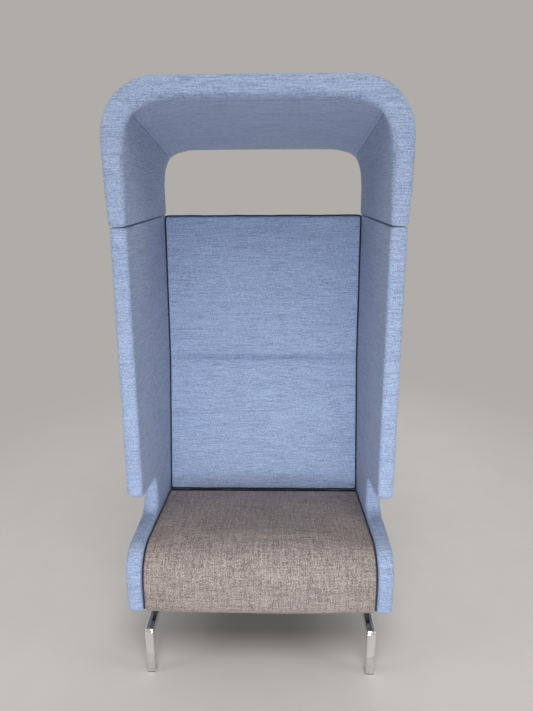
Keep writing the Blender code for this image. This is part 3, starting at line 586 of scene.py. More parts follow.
def swell(piece, freedom, pressure, most):
    """Blows the cover up like cloth over its filling, which it never sinks into.

    freedom is each point's share of the most that it moves.
    """
    start = points_of(piece)
    outward = normals_of(piece)
    held = piece.vertex_groups.new(name="held")
    for share in np.unique(np.round(freedom, 1)):
        chosen = np.flatnonzero(np.round(freedom, 1) == share)
        held.add(chosen.tolist(), float(1 - share), "REPLACE")
    cover = piece.modifiers.new("cover", "CLOTH")
    cloth = cover.settings
    cloth.quality = 4
    cloth.mass = 0.3
    cloth.tension_stiffness = cloth.compression_stiffness = 12
    cloth.shear_stiffness = 6
    cloth.bending_stiffness = 0.6
    cloth.vertex_group_mass = held.name
    cloth.use_pressure = True
    cloth.uniform_pressure_force = pressure
    cloth.effector_weights.gravity = 0
    cover.collision_settings.use_collision = False
    cover.point_cache.frame_start = 1
    cover.point_cache.frame_end = SWELL_FRAMES
    for step in range(1, SWELL_FRAMES + 1):
        bpy.context.scene.frame_set(step)
    graph = bpy.context.evaluated_depsgraph_get()
    moved = read(piece.evaluated_get(graph).data.vertices, "co", 3) - start
    piece.modifiers.clear()
    piece.vertex_groups.clear()
    bpy.context.scene.frame_set(1)
    moved -= outward * np.minimum(0, (moved * outward).sum(axis=1, keepdims=True))
    far = np.linalg.norm(moved, axis=1, keepdims=True)
    limit = most * freedom[:, None]
    set_points(piece, start + moved * np.minimum(1, limit / np.maximum(far, 1e-9)))


def refine(piece):
    smooth = piece.modifiers.new("smooth", "SUBSURF")
    smooth.levels = smooth.render_levels = 1
    settle(piece)


def ripple(piece, freedom, grain, height, seed):
    """Small hand-worked unevenness of a pulled cover."""
    start = points_of(piece)
    lift = [noise.noise(Vector(point) * grain + Vector((seed, 0, 0))) for point in start]
    set_points(piece, start + normals_of(piece) * (np.array(lift) * height * freedom)[:, None])


def map_weave(mesh):
    """Lays the weave level on every face: its weft runs across fronts and tops and along the sides."""
    layer = mesh.uv_layers.get(WEAVE) or mesh.uv_layers.new(name=WEAVE)
    points = read(mesh.vertices, "co", 3)
    facing = np.abs(read(mesh.polygons, "normal", 3))
    sizes = read(mesh.polygons, "loop_total", kind=np.int32)
    corners = read(mesh.loops, "vertex_index", kind=np.int32)
    axis = np.repeat(facing.argmax(axis=1), sizes)
    first = np.where(axis == 0, 1, 0)
    second = np.where(axis == 2, 1, 2)
    places = points[corners]
    rows = np.arange(len(corners))
    uv = np.stack((places[rows, first], places[rows, second]), axis=1)
    layer.data.foreach_set("uv", uv.astype(np.float32).ravel())


def dress(piece, replaced=()):
    """Shades a finished piece smooth, hangs it on the root body and hides the solids it replaces."""
    piece.data.shade_smooth()
    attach(piece, "root")
    if replaced:
        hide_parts(*replaced)


# Geometry trees


class Tree(Nodes):
    """A geometry tree with named inputs."""

    KINDS = {float: "NodeSocketFloat", int: "NodeSocketInt", bpy.types.Material: "NodeSocketMaterial"}

    def __init__(self, name, **inputs):
        super().__init__(bpy.data.node_groups.new(name, "GeometryNodeTree"))
        face = self.tree.interface
        face.new_socket("Geometry", in_out="INPUT", socket_type="NodeSocketGeometry")
        self.sockets = {}
        for word, kind in inputs.items():
            item = face.new_socket(word, in_out="INPUT", socket_type=self.KINDS[kind])
            self.sockets[word] = item.identifier
        face.new_socket("Geometry", in_out="OUTPUT", socket_type="NodeSocketGeometry")
        self.given = self.nodes.new("NodeGroupInput").outputs
        self.result = self.nodes.new("NodeGroupOutput").inputs[0]

    def lines(self):
        return self.add("GeometryNodeMeshToCurve", {0: self.given["Geometry"]})

    def noted(self, geometry, word, value):
        """The geometry with a value noted on it, and that value."""
        node = self.nodes.new("GeometryNodeCaptureAttribute")
        node.capture_items.new("FLOAT", word)
        self.links.new(geometry, node.inputs[0])
        self.links.new(value, node.inputs[1])
        return node.outputs[:2]

    def set_along(self, shape, axis, scale=(1, 1, 1)):
        """Sets a shape at each pitch of the lines, with one of its axes turned along them."""
        spacing = {"Curve": self.lines(), "Length": self.given["pitch"]}
        places = self.add("GeometryNodeResampleCurve", spacing, mode="LENGTH")
        tangent = self.add("GeometryNodeInputTangent")
        turn = self.add("FunctionNodeAlignRotationToVector", {"Vector": tangent}, axis=axis)
        return self.add("GeometryNodeInstanceOnPoints", {
            "Points": places, "Instance": shape, "Rotation": turn, "Scale": scale,
        })

    def finish(self, geometry):
        whole = self.add("GeometryNodeRealizeInstances", {0: geometry})
        coated = self.add("GeometryNodeSetMaterial", {"Geometry": whole, "Material": self.given["finish"]})
        self.links.new(coated, self.result)
        return self

    def run(self, name, lines, **values):
        """A plain mesh of what the tree makes of some lines of points."""
        mesh = bpy.data.meshes.new(name)
        points, edges = [], []
        for line in lines:
            edges += [(len(points) + i, len(points) + i + 1) for i in range(len(line) - 1)]
            points += [tuple(point) for point in line]
        mesh.from_pydata(points, edges, [])
        piece = new_piece(name, mesh)
        modifier = piece.modifiers.new("made", "NODES")
        modifier.node_group = self.tree
        for word, value in values.items():
            modifier[self.sockets[word]] = value
        settle(piece)
        return piece


def stitch_tree():
    """Stitches along a line, one to each pitch, drawn out along it."""
    tree = Tree("stitches", pitch=float, length=float, thickness=float, finish=bpy.types.Material)
    bead = tree.add("GeometryNodeMeshUVSphere", {"Segments": 6, "Rings": 5, "Radius": 0.5})
    size = tree.add("CombineXYZ", {
        0: tree.given["thickness"], 1: tree.given["thickness"], 2: tree.given["length"],
    })
    return tree.finish(tree.set_along(bead, "Z", size))


def staple_tree():
    """Staples along a line, set across it."""
    tree = Tree("staples", pitch=float, width=float, wire=float, finish=bpy.types.Material)
    size = tree.add("CombineXYZ", {
        0: tree.given["wire"], 1: tree.given["width"], 2: tree.given["wire"],
    })
    bar = tree.add("GeometryNodeMeshCube", {"Size": size})
    return tree.finish(tree.set_along(bar, "X"))


def piping_tree():
    """A round cord along a line, with a map of its length and turn."""
    tree = Tree("piping", radius=float, finish=bpy.types.Material)
    round_form = {"Resolution": 12, "Radius": tree.given["radius"]}
    circle = tree.add("GeometryNodeCurvePrimitiveCircle", round_form)
    along = tree.add("GeometryNodeSplineParameter", out="Length")
    around = tree.add("GeometryNodeSplineParameter", out="Factor")
    curve, length = tree.noted(tree.lines(), "length", along)
    ring, turn = tree.noted(circle, "turn", around)
    cord = tree.add("GeometryNodeCurveToMesh", {"Curve": curve, "Profile Curve": ring, "Fill Caps": True})
    place = tree.add("CombineXYZ", {0: length, 1: turn})
    mapped = tree.add("GeometryNodeStoreNamedAttribute", {"Geometry": cord, "Name": WEAVE, "Value": place},
                      data_type="FLOAT2", domain="CORNER")
    return tree.finish(mapped)


STITCHES = stitch_tree()
STAPLES = staple_tree()
PIPING = piping_tree()


def sew(name, lines, stitch):
    dress(STITCHES.run(name, lines, finish=FINISHES["sewing_thread"], **stitch))


# Side panels


def panel_plate():
    """The panel's closed form, drawn past the seam and cut there, with its thickness along X about 0."""
    rear_bend = bend_height(COVER_REAR)
    heel = back_line(PANEL_UNDERSIDE, COVER_REAR) + PANEL_REVEAL
    past = 3 * PANEL_ROUND
    lean = math.tan(UPPER_RECLINE)
    wing_slope = (SEAM_SETBACK - WING_SETBACK) / (SEAM_HEIGHT - WING_FOOT)
    outline = rounded([
        (0, PANEL_UNDERSIDE, PANEL_TOE_RADIUS),
        (heel, PANEL_UNDERSIDE, PANEL_HEEL_RADIUS),
        (back_line(rear_bend, COVER_REAR) + PANEL_REVEAL, rear_bend, REAR_BEND_RADIUS),
        (DEPTH + past * lean, seam_line(DEPTH) + past, 0),
        (SEAM_SETBACK + past * wing_slope, SEAM_HEIGHT + past, 0),
        (WING_SETBACK, WING_FOOT, WING_TOE_RADIUS),
        (NOTCH_DEPTH, NOTCH_TOP, NOTCH_UPPER_RADIUS),
        (NOTCH_DEPTH, ARM_HEIGHT, NOTCH_LOWER_RADIUS),
        (0, ARM_HEIGHT, ARM_NOSE_RADIUS),
    ])
    curve = bpy.data.curves.new("panel", "CURVE")
    curve.dimensions = "2D"
    curve.fill_mode = "BOTH"
    curve.bevel_depth = PANEL_ROUND
    curve.bevel_resolution = 4
    curve.extrude = PANEL_THICK / 2 - PANEL_ROUND
    curve.offset = -PANEL_ROUND
    spline = curve.splines.new("POLY")
    spline.points.add(len(outline) - 1)
    spline.use_cyclic_u = True
    for point, (u, z) in zip(spline.points, outline):
        point.co = (u, z, 0, 1)
    drawn = new_piece("panel_drawing", curve)
    graph = bpy.context.evaluated_depsgraph_get()
    mesh = bpy.data.meshes.new_from_object(drawn.evaluated_get(graph))
    bpy.data.objects.remove(drawn)
    upright = Matrix(((0, 0, 1, 0), (1, 0, 0, FRONT), (0, 1, 0, 0), (0, 0, 0, 1)))
    edge = Vector((0, FRONT + SEAM_SETBACK, SEAM_HEIGHT - SEAM_GAP / 2))
    across = Vector((0, -SEAM_RISE, DEPTH - SEAM_SETBACK)).normalized()
    with worked(mesh) as bm:
        bmesh.ops.remove_doubles(bm, verts=bm.verts, dist=1e-5)
        bmesh.ops.transform(bm, matrix=upright, verts=bm.verts)
        everything = [*bm.verts, *bm.edges, *bm.faces]
        bmesh.ops.bisect_plane(bm, geom=everything, plane_co=edge, plane_no=across, clear_outer=True)
        bmesh.ops.edgeloop_fill(bm, edges=[e for e in bm.edges if e.is_boundary])
        bmesh.ops.triangulate(bm, faces=bm.faces)
        bmesh.ops.recalc_face_normals(bm, faces=bm.faces)
    return mesh


def even_skin(name, mesh):
    """The same closed form with evenly spread faces."""
    form = BVHTree.FromPolygons([v.co for v in mesh.vertices], [p.vertices for p in mesh.polygons])
    skin = new_piece(name, mesh)
    grid = skin.modifiers.new("even", "REMESH")
    grid.mode = "VOXEL"
    grid.voxel_size = VOXEL
    settle(skin)
    set_points(skin, [form.find_nearest(vertex.co)[0] for vertex in skin.data.vertices])
    return skin


def panel_freedom(points, side):
    """Where a panel's cover may swell: not at the seam, nor where the seat and the back lie against it."""
    u = points[:, 1] - FRONT
    z = points[:, 2]
    inward = -side * points[:, 0]
    below_seam = eased(seam_line(u) - z, *SEAM_HOLD)
    before_back = eased(back_line(z, 0) - u, *BACK_HOLD)
    above_seat = eased(z - SEAT_FRONT_HEIGHT, *SEAT_HOLD)
    open_side = np.where(inward > 0, before_back * above_seat * INNER_SIDE_FREEDOM, 1.0)
    return below_seam * open_side


def make_sides():
    form = even_skin("panel_form", panel_plate())
    for label, side in SIDES.items():
        panel = new_piece(f"padded_side_{label}", form.data.copy(), "blue_fabric")
        freedom = panel_freedom(points_of(panel), side)
        swell(panel, freedom, pressure=3.0, most=0.004)
        ripple(panel, freedom, grain=9.0, height=0.0006, seed=3.0 + side)
        set_points(panel, points_of(panel) + np.array((side * PANEL_MIDDLE, 0, 0)))
        refine(panel)
        map_weave(panel.data)
        dress(panel, [f"side_panel_{label}"])
    bpy.data.objects.remove(form)


# Hood, with its steps up a wall and along half the roof, and the rows over which its cover comes free

HOOD_STEPS = (14, 26)
HOOD_CORNER = HOOD_STEPS[0] + len(CREASE_ROWS) - 1
RIM_SEAM_ROW = -3
FOOT_HOLD = (0, 8)
CREASE_HOLD = (4, 9)
CREASE_END = (1, 6)


def hood_arch(depth, top, foot, size, crease):
    """Half an arch in (x, z) from the left foot to the middle, this depth inside the outer surface.

    size is how far its corner reaches along the wall and the roof, crease the angle left sharp in it.
    """
    wall, roof = HOOD_STEPS
    corner = np.array((depth - OUTER, top - depth))
    turn = (math.pi / 2 - crease) / 2
    radius = size / (1 - math.cos(turn) + math.sin(turn))
    rise = turn * (1 - np.array(CREASE_ROWS))
    side = np.stack((1 - np.cos(rise), np.sin(rise)), axis=1) * radius
    start = corner + (0, -size)
    leg = np.linspace((corner[0], foot), start, wall + 1)[:-1]
    up = start + side
    over = corner + (size, 0) - side[::-1, ::-1]
    middle = np.linspace(over[-1], (0, top - depth), roof + 1)[1:]
    return np.concatenate((leg, up, over[1:], middle))


def hood_section():
    """The hood's section, how many points each of its flat runs has, and its depth.

    Each point is its distance behind the front and its share of the thickness, from the outside in.
    It runs along the outer surface to the rear, round the rear rim, along the lining and round the front.
    """
    depth = DEPTH - SEAM_SETBACK
    ends, drops = quarter_round(PANEL_ROUND)
    seam = PANEL_ROUND + RIM_SEAM
    at_seam = [seam - RIM_SEAM_WIDTH, seam, seam + RIM_SEAM_WIDTH]
    count = round((depth - PANEL_ROUND - seam) / STEP)
    flat = np.concatenate(([PANEL_ROUND], at_seam, np.linspace(seam, depth - PANEL_ROUND, count + 1)[1:]))
    outer = [(a, 0.0) for a in flat]
    rear = [(depth - a, b / PANEL_THICK) for a, b in zip(ends, drops)][1:]
    rear_lining = [(a, 1 - b) for a, b in reversed(rear)]
    middle = [(depth, 0.5)]
    lining = [(a, 1.0) for a in flat[::-1]]
    front_lining = [(depth - a, b) for a, b in reversed(rear_lining)]
    front = [(depth - a, b) for a, b in reversed(rear)]
    loop = outer + rear + middle + rear_lining + lining + front_lining + [(0.0, 0.5)] + front
    return np.array(loop), len(flat), depth


def hood_edge(z, share):
    """u at this share of the hood's depth, at height z."""
    front_rise = (z - SEAM_HEIGHT) / (HOOD_HEIGHT - SEAM_HEIGHT)
    rear_rise = (z - SEAM_HEIGHT - SEAM_RISE) / (HOOD_HEIGHT - SEAM_HEIGHT - SEAM_RISE)
    front = SEAM_SETBACK + (HOOD_SETBACK - SEAM_SETBACK) * front_rise
    return front * (1 - share) + (DEPTH - HOOD_REAR_LEAN * rear_rise) * share


def hood_points():
    """Points of the hood by arch step and section step."""
    loop, _, depth = hood_section()
    grid = []
    for behind, inward in loop:
        share = behind / depth
        foot = seam_line(hood_edge(SEAM_HEIGHT + SEAM_RISE, share)) + SEAM_GAP / 2
        fall = (hood_edge(HOOD_HEIGHT, share) - HOOD_SETBACK) / (DEPTH - HOOD_SETBACK)
        top = HOOD_HEIGHT - HOOD_FALL * fall
        at_rim = 1 - float(eased(min(behind, depth - behind), 0, RIM_EASE))
        rim_corner = RIM_CORNER if share < 0.5 else WINDOW_CORNER
        size = SEAM_CORNER + (rim_corner - SEAM_CORNER) * at_rim
        crease = SEAM_CREASE + (RIM_CREASE - SEAM_CREASE) * at_rim
        outer = hood_arch(-HOOD_FULLNESS, top, foot, HOOD_RADIUS + HOOD_FULLNESS, 0.0)
        outer[:, 0] += HOOD_FOOT_TUCK * (1 - eased(outer[:, 1] - foot, 0, HOOD_FOOT_RUN))
        lining = hood_arch(PANEL_THICK, top, foot, size, crease)
        half = outer * (1 - inward) + lining * inward
        full = np.concatenate((half, half[-2::-1] * (-1, 1)))
        y = FRONT + hood_edge(full[:, 1], share)
        grid.append(np.stack((full[:, 0], y, full[:, 1]), axis=1))
    return np.array(grid).transpose(1, 0, 2)


def make_hood():
    grid = hood_points()
    loop, flat, _ = hood_section()
    arches, count = grid.shape[:2]
    creases = (HOOD_CORNER, arches - 1 - HOOD_CORNER)
    first_lining = np.flatnonzero(loop[:, 1] == 1.0)[0]
    on_lining = np.arange(first_lining, first_lining + flat)

    def index(i, j):
        return i * count + j % count

    faces = [
        (index(i, j), index(i, j + 1), index(i + 1, j + 1), index(i + 1, j))
        for i in range(arches - 1) for j in range(count)
    ]
    for i in (0, arches - 1):
        ladder = [
            (index(i, j), index(i, j + 1), index(i, on_lining[-1] - j - 1), index(i, on_lining[-1] - j))
            for j in range(flat - 1)
        ]
        rear = [index(i, j) for j in range(flat - 1, first_lining + 1)]
        front = [index(i, j) for j in [*range(on_lining[-1], count), 0]]
        faces += [*ladder, rear, front]
    mesh = bpy.data.meshes.new("padded_hood")
    mesh.from_pydata(grid.reshape(-1, 3).tolist(), [], faces)
    with worked(mesh) as bm:
        bmesh.ops.recalc_face_normals(bm, faces=bm.faces)
        fold = bm.edges.layers.float.new("crease_edge")
        bm.verts.ensure_lookup_table()
        for i in creases:
            for j in on_lining[:-1]:
                bm.edges.get((bm.verts[index(i, j)], bm.verts[index(i, j + 1)]))[fold] = 1.0
    hood = new_piece("padded_hood", mesh, "blue_fabric")
    arch_step = np.repeat(np.arange(arches), count)
    from_foot = np.minimum(arch_step, arches - 1 - arch_step)
    from_crease = np.min([np.abs(arch_step - i) for i in creases], axis=0)
    lined = np.tile(loop[:, 1] > 0.5, arches)
    freedom = eased(from_foot, *FOOT_HOLD) * np.where(lined, eased(from_crease, *CREASE_HOLD), 1.0)
    swell(hood, freedom, pressure=3.0, most=0.003)
    ripple(hood, freedom, grain=8.0, height=0.0006, seed=21.0)
    seamed = points_of(hood).reshape(arches, count, 3)
    outward = np.array((1.0, 0.0, 1.0)) / math.sqrt(2)
    run = eased(np.minimum(np.arange(flat), np.arange(flat)[::-1]), *CREASE_END)[:, None]
    for i, side in zip(creases, (-1, 1)):
        seamed[i, on_lining] += run * outward * (side, 1, 1) * CREASE_GROOVE
        for row in TAPE_ROWS:
            seamed[i - side * row, on_lining] -= run * (0, 0, TAPE_HEIGHT)
    left, right = creases
    seamed[left + 1:right, on_lining[RIM_SEAM_ROW]] += (0, 0, RIM_SEAM_DEPTH)
    set_points(hood, seamed.reshape(-1, 3))
    refine(hood)
    map_weave(hood.data)
    dress(hood, ["hood"])
    hood.data.set_sharp_from_angle(angle=SMOOTH_ANGLE)
    sew_hood(seamed, creases, on_lining)


def sew_hood(grid, creases, on_lining):
    """Top stitching along the tapes over the corner seams, and behind the seam of the front rim."""
    left, right = creases
    inner = on_lining[4:-5]
    behind_seam = on_lining[RIM_SEAM_ROW - 2]
    last = TAPE_ROWS[-1]
    rows = (grid[left + last, inner], grid[right - last, inner],
            grid[left + last:right - last + 1, behind_seam])
    lines = [even(row - (0, 0, HOOD_STITCH_LIFT), 0.004) for row in rows]
    sew("hood_stitching", lines, HOOD_STITCH)


# Cushions


def pad_places(half, rounding):
    """Places across a pad, and how far its edge is drawn in at each."""
    ends, drops = quarter_round(rounding)
    edge = list(zip(half - ends, drops))
    flat = half - rounding
    middle = np.linspace(-flat, flat, round(2 * flat / STEP) + 1)[1:-1]
    left = [(-x, drop) for x, drop in reversed(edge)]
    return left + [(x, 0.0) for x in middle] + edge


def outward_of(outline):
    """Outward direction at each point of a closed outline that runs anticlockwise."""
    along = np.roll(outline, -1, axis=0) - np.roll(outline, 1, axis=0)
    along /= np.linalg.norm(along, axis=1, keepdims=True)
    return np.stack((along[:, 1], -along[:, 0]), axis=1)


def cross_loft(name, outline, places, raise_by, edge_share, finish):
    """A closed pad through an outline in (u, z), repeated at places across X.

    raise_by gives how far each point stands out at a place, edge_share which points the edge draws in.
    """
    outward = outward_of(outline)
    rings = []
    for x, drop in places:
        moved = outline + outward * (raise_by(x) - drop * edge_share)[:, None]
        rings.append(np.column_stack((np.full(len(moved), x), moved[:, 0] + FRONT, moved[:, 1])))
    count = len(outline)
    faces, maps = [], []
    along = lengths(np.vstack((outline, outline[:1])))
    for i in range(len(rings) - 1):
        x, following = places[i][0], places[i + 1][0]
        for j in range(count):
            k = (j + 1) % count
            faces.append((i * count + j, i * count + k, (i + 1) * count + k, (i + 1) * count + j))
            maps += [(x, along[j]), (x, along[j + 1]), (following, along[j + 1]), (following, along[j])]
    for i in (0, len(rings) - 1):
        faces.append([i * count + j for j in range(count)])
        maps += [tuple(point) for point in outline]
    mesh = bpy.data.meshes.new(name)
    mesh.from_pydata(np.concatenate(rings).tolist(), [], faces)
    layer = mesh.uv_layers.new(name=WEAVE)
    layer.data.foreach_set("uv", np.array(maps, np.float32).ravel())
    with worked(mesh) as bm:
        bmesh.ops.triangulate(bm, faces=[face for face in bm.faces if len(face.verts) > 4])
        bmesh.ops.recalc_face_normals(bm, faces=bm.faces)
    return new_piece(name, mesh, finish)


def seat_outline():
    """The seat from the side: it lies on the straps, and its apron hangs before the base."""
    rear_low = back_line(CUSHION_FLOOR, -CUSHION_GAP)
    rear_high = back_line(SEAT_REAR_HEIGHT, -CUSHION_GAP)
    apron = BASE_SETBACK - CUSHION_GAP
    drawn = rounded([
        (SEAT_SETBACK, SEAT_UNDERSIDE, SEAT_TOE_RADIUS),
        (apron, SEAT_UNDERSIDE, 0),
        (apron, CUSHION_FLOOR, 0),
        (rear_low, CUSHION_FLOOR, 0),
        (rear_high, SEAT_REAR_HEIGHT, SEAT_HEEL_RADIUS),
        (SEAT_SETBACK, SEAT_FRONT_HEIGHT, SEAT_NOSE_RADIUS),
    ])
    return even(np.vstack((drawn, drawn[:1])), STEP)[:-1]


def make_seat():
    outline = seat_outline()
    outward = outward_of(outline)
    toward_sitter = outward @ (np.array((-1, 1)) / math.sqrt(2))
    lean = np.clip(toward_sitter / SEAT_FACING, 0, 1)
    lean *= eased(outline[:, 0].max() - outline[:, 0], SEAT_HEEL_RADIUS, SEAT_CROWN_RUN)
    u, z = outline.T
    on_base = (u > BASE_SETBACK - ON_BASE_RUN) & (z < CUSHION_FLOOR + ON_BASE_RISE)
    edge_share = np.where(on_base, 0.0, 1.0)

    def crown(x):
        share = max(0.0, 1 - (x / (CUSHION_HALF - CUSHION_ROUND)) ** 2)
        return SEAT_CROWN * share * lean

    places = pad_places(CUSHION_HALF, CUSHION_ROUND)
    seat = cross_loft("padded_seat", outline, places, crown, edge_share, "brown_tweed")
    points = points_of(seat)
    side_room = eased(CUSHION_HALF - np.abs(points[:, 0]), *SEAT_EDGE_HOLD)
    freedom = side_room * np.tile(eased(lean, *SEAT_LEAN_HOLD), len(places))
    swell(seat, freedom, pressure=4.0, most=0.005)
    ripple(seat, freedom, grain=7.0, height=0.0012, seed=31.0)
    refine(seat)
    dress(seat, ["seat_cushion"])


def back_outline():
    """The back pad from the side, with more points where the seam crosses its front."""
    pad_bend = bend_height(BACK_PAD_THICK)
    board_top = BACK_TOP_HEIGHT - BACK_TOP_WRAP
    front_top = back_line(BACK_TOP_HEIGHT, 0)
    behind = rounded([
        (back_line(CUSHION_FLOOR, 0), CUSHION_FLOOR, 0),
        (back_line(CUSHION_FLOOR, BACK_PAD_THICK), CUSHION_FLOOR, 0),
        (back_line(pad_bend, BACK_PAD_THICK), pad_bend, 0),
        (back_line(board_top, BACK_PAD_THICK), board_top, 0),
        (back_line(board_top, BACK_WRAP_REAR), board_top, 0),
        (back_line(BACK_TOP_HEIGHT, BACK_WRAP_REAR), BACK_TOP_HEIGHT, 0),
        (front_top, BACK_TOP_HEIGHT, BACK_TOP_ROUND),
    ])
    near_seam = BACK_SEAM_WIDTH * np.array((-1.3, -0.7, -0.3, 0, 0.3, 0.7, 1.3))
    top = behind[-1][1]
    low_field = np.arange(CUSHION_FLOOR + STEP, BACK_BEND_HEIGHT + 2 * near_seam[0], STEP)
    high_field = np.arange(BACK_BEND_HEIGHT + 2 * near_seam[-1], top - STEP / 2, STEP)
    heights = np.concatenate((low_field, BACK_BEND_HEIGHT + near_seam, high_field))[::-1]
    in_front = np.stack((back_line(heights, 0), heights), axis=1)
    return np.vstack((even(behind, STEP), in_front))


def make_back():
    outline = back_outline()
    u, z = outline.T
    in_front = u < back_line(z, BACK_PAD_THICK / 2)
    top = BACK_TOP_HEIGHT - BACK_TOP_ROUND
    low_share = (z - BACK_FOOT_HEIGHT) / (BACK_BEND_HEIGHT - BACK_FOOT_HEIGHT)
    high_share = (z - BACK_BEND_HEIGHT) / (top - BACK_BEND_HEIGHT)
    share = np.clip(np.where(z < BACK_BEND_HEIGHT, low_share, high_share), 0, 1)
    from_seam = np.abs(z - BACK_BEND_HEIGHT)
    dip = BACK_CHANNEL * (1 - eased(from_seam, 0, BACK_CHANNEL_WIDTH / 2))
    dip += BACK_SEAM * (1 - np.clip(from_seam / BACK_SEAM_WIDTH, 0, 1))
    swelling = np.where(in_front, BACK_CROWN * np.sin(math.pi * share), 0)
    channel = np.where(in_front, dip, 0)

    def crown(x):
        side = max(0.0, 1 - (x / (CUSHION_HALF - CUSHION_ROUND)) ** 2)
        return swelling * side - channel * min(1.0, 3 * side)

    places = pad_places(CUSHION_HALF, CUSHION_ROUND)
    back = cross_loft("padded_back", outline, places, crown, in_front * 1.0, "blue_fabric")
    points = points_of(back)
    side_room = eased(CUSHION_HALF - np.abs(points[:, 0]), *BACK_EDGE_HOLD)
    away = eased(from_seam, *BACK_SEAM_HOLD)
    ends = eased(z - BACK_FOOT_HEIGHT, 0, BACK_FOOT_HOLD) * eased(top - z, 0, BACK_TOP_HOLD)
    freedom = side_room * np.tile(in_front * away * ends, len(places))
    swell(back, freedom, pressure=4.0, most=0.005)
    ripple(back, freedom, grain=6.0, height=0.0012, seed=47.0)
    refine(back)
    dress(back, ["back_cushion"])


def make_rear_cover():
    """The upholstered panel that closes the back from behind."""
    low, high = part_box("back_cover")
    front_bend, rear_bend = bend_height(COVER_FRONT), bend_height(COVER_REAR)
    foot, top = low.z, high.z
    edge = (COVER_REAR - COVER_FRONT) / 2
    drawn = rounded([
        (back_line(foot, COVER_FRONT), foot, 0),
        (back_line(foot, COVER_REAR), foot, edge),
        (back_line(rear_bend, COVER_REAR), rear_bend, COVER_BEND_RADIUS),
        (back_line(top, COVER_REAR), top, edge),
        (back_line(top, COVER_FRONT), top, 0),
        (back_line(front_bend, COVER_FRONT), front_bend, COVER_BEND_RADIUS),
    ])
    outline = even(np.vstack((drawn, drawn[:1])), STEP)[:-1]
    u, z = outline.T
    behind = u > back_line(z, (COVER_FRONT + COVER_REAR) / 2)
    fall = eased(z - foot, 0, COVER_END_HOLD) * eased(top - z, 0, COVER_END_HOLD)

    def crown(x):
        return behind * fall * COVER_CROWN * max(0.0, 1 - (x / high.x) ** 2)

    places = pad_places(high.x, edge)
    cover = cross_loft("rear_cover", outline, places, crown, behind * 1.0, "blue_fabric")
    points = points_of(cover)
    side_room = eased(high.x - np.abs(points[:, 0]), edge, COVER_EDGE_HOLD)
    freedom = side_room * np.tile(behind * fall, len(places))
    ripple(cover, freedom, grain=6.0, height=0.0008, seed=59.0)
    refine(cover)
    dress(cover, ["back_cover"])
    sew_rear_cover(high.x - 2 * edge, foot + 2 * edge, top - 2 * edge)


def sew_rear_cover(half, foot, top):
    """Hand stitches that close the rear cover along its sides and its top."""
    def proud(x, z):
        return x, FRONT + back_line(z, COVER_REAR) + COVER_STITCH_LIFT, z

    lines = [[proud(side * half, z) for z in np.linspace(foot, top, 120)] for side in SIDES.values()]
    lines.append([proud(x, top) for x in np.linspace(-half, half, 100)])
    sew("rear_cover_stitching", lines, COVER_STITCH)


# Piping


def wavy(points, seed):
    """A sewn cord's line: evenly spread points that stray a little, except at its ends."""
    line = even(np.array(points), PIPING_STEP)
    along = lengths(line)
    stray = sum(size * np.sin(along * rate + shift * seed) for rate, shift, size in PIPING_WAVES)
    held = eased(along, 0, PIPING_HOLD) * eased(along[-1] - along, 0, PIPING_HOLD)
    line[:, 1] -= PIPING_STRAY * np.abs(stray) * held
    line[:, 2] += PIPING_STRAY * stray * held
    return line


def lay_piping(name, points, seed, replaced=()):
    cord = PIPING.run(name, [wavy(points, seed)], radius=PIPING_RADIUS, finish=FINISHES["navy_piping"])
    dress(cord, replaced)


def make_seat_piping():
    """Cords along both sides of the seat, and one in the joint behind it."""
    rear_high = back_line(SEAT_REAR_HEIGHT, -CUSHION_GAP)
    drawn = rounded([
        (SEAT_SETBACK, SEAT_UNDERSIDE + SEAT_TOE_RADIUS, 0),
        (rear_high, SEAT_UNDERSIDE + SEAT_TOE_RADIUS, 0),
        (rear_high, SEAT_REAR_HEIGHT, 0),
        (SEAT_SETBACK, SEAT_FRONT_HEIGHT, SEAT_NOSE_RADIUS),
    ])
    heel = drawn[2] + (drawn[3] - drawn[2]) / np.linalg.norm(drawn[3] - drawn[2]) * SEAT_HEEL_RADIUS
    route = even(np.vstack(([heel], drawn[3:], drawn[:1])), PIPING_STEP)
    along = np.gradient(route, axis=0)
    along /= np.linalg.norm(along, axis=1, keepdims=True)
    route += np.stack((along[:, 1], -along[:, 0]), axis=1) * PIPING_LIFT
    for label, side in SIDES.items():
        points = [(side * PIPING_PLACE, FRONT + u, z) for u, z in route]
        lay_piping(f"seat_cord_{label}", points, 1.0 + side, [f"seat_piping_{label}"])
    heel_turn = (SEAT_HEEL_RADIUS + PIPING_RADIUS) * math.sqrt(0.5) - SEAT_HEEL_RADIUS
    y, z = FRONT + rear_high + heel_turn, SEAT_REAR_HEIGHT + heel_turn
    lay_piping("seat_cord_rear", [(side * PIPING_PLACE, y, z) for side in (-1, 1)], 3.0)


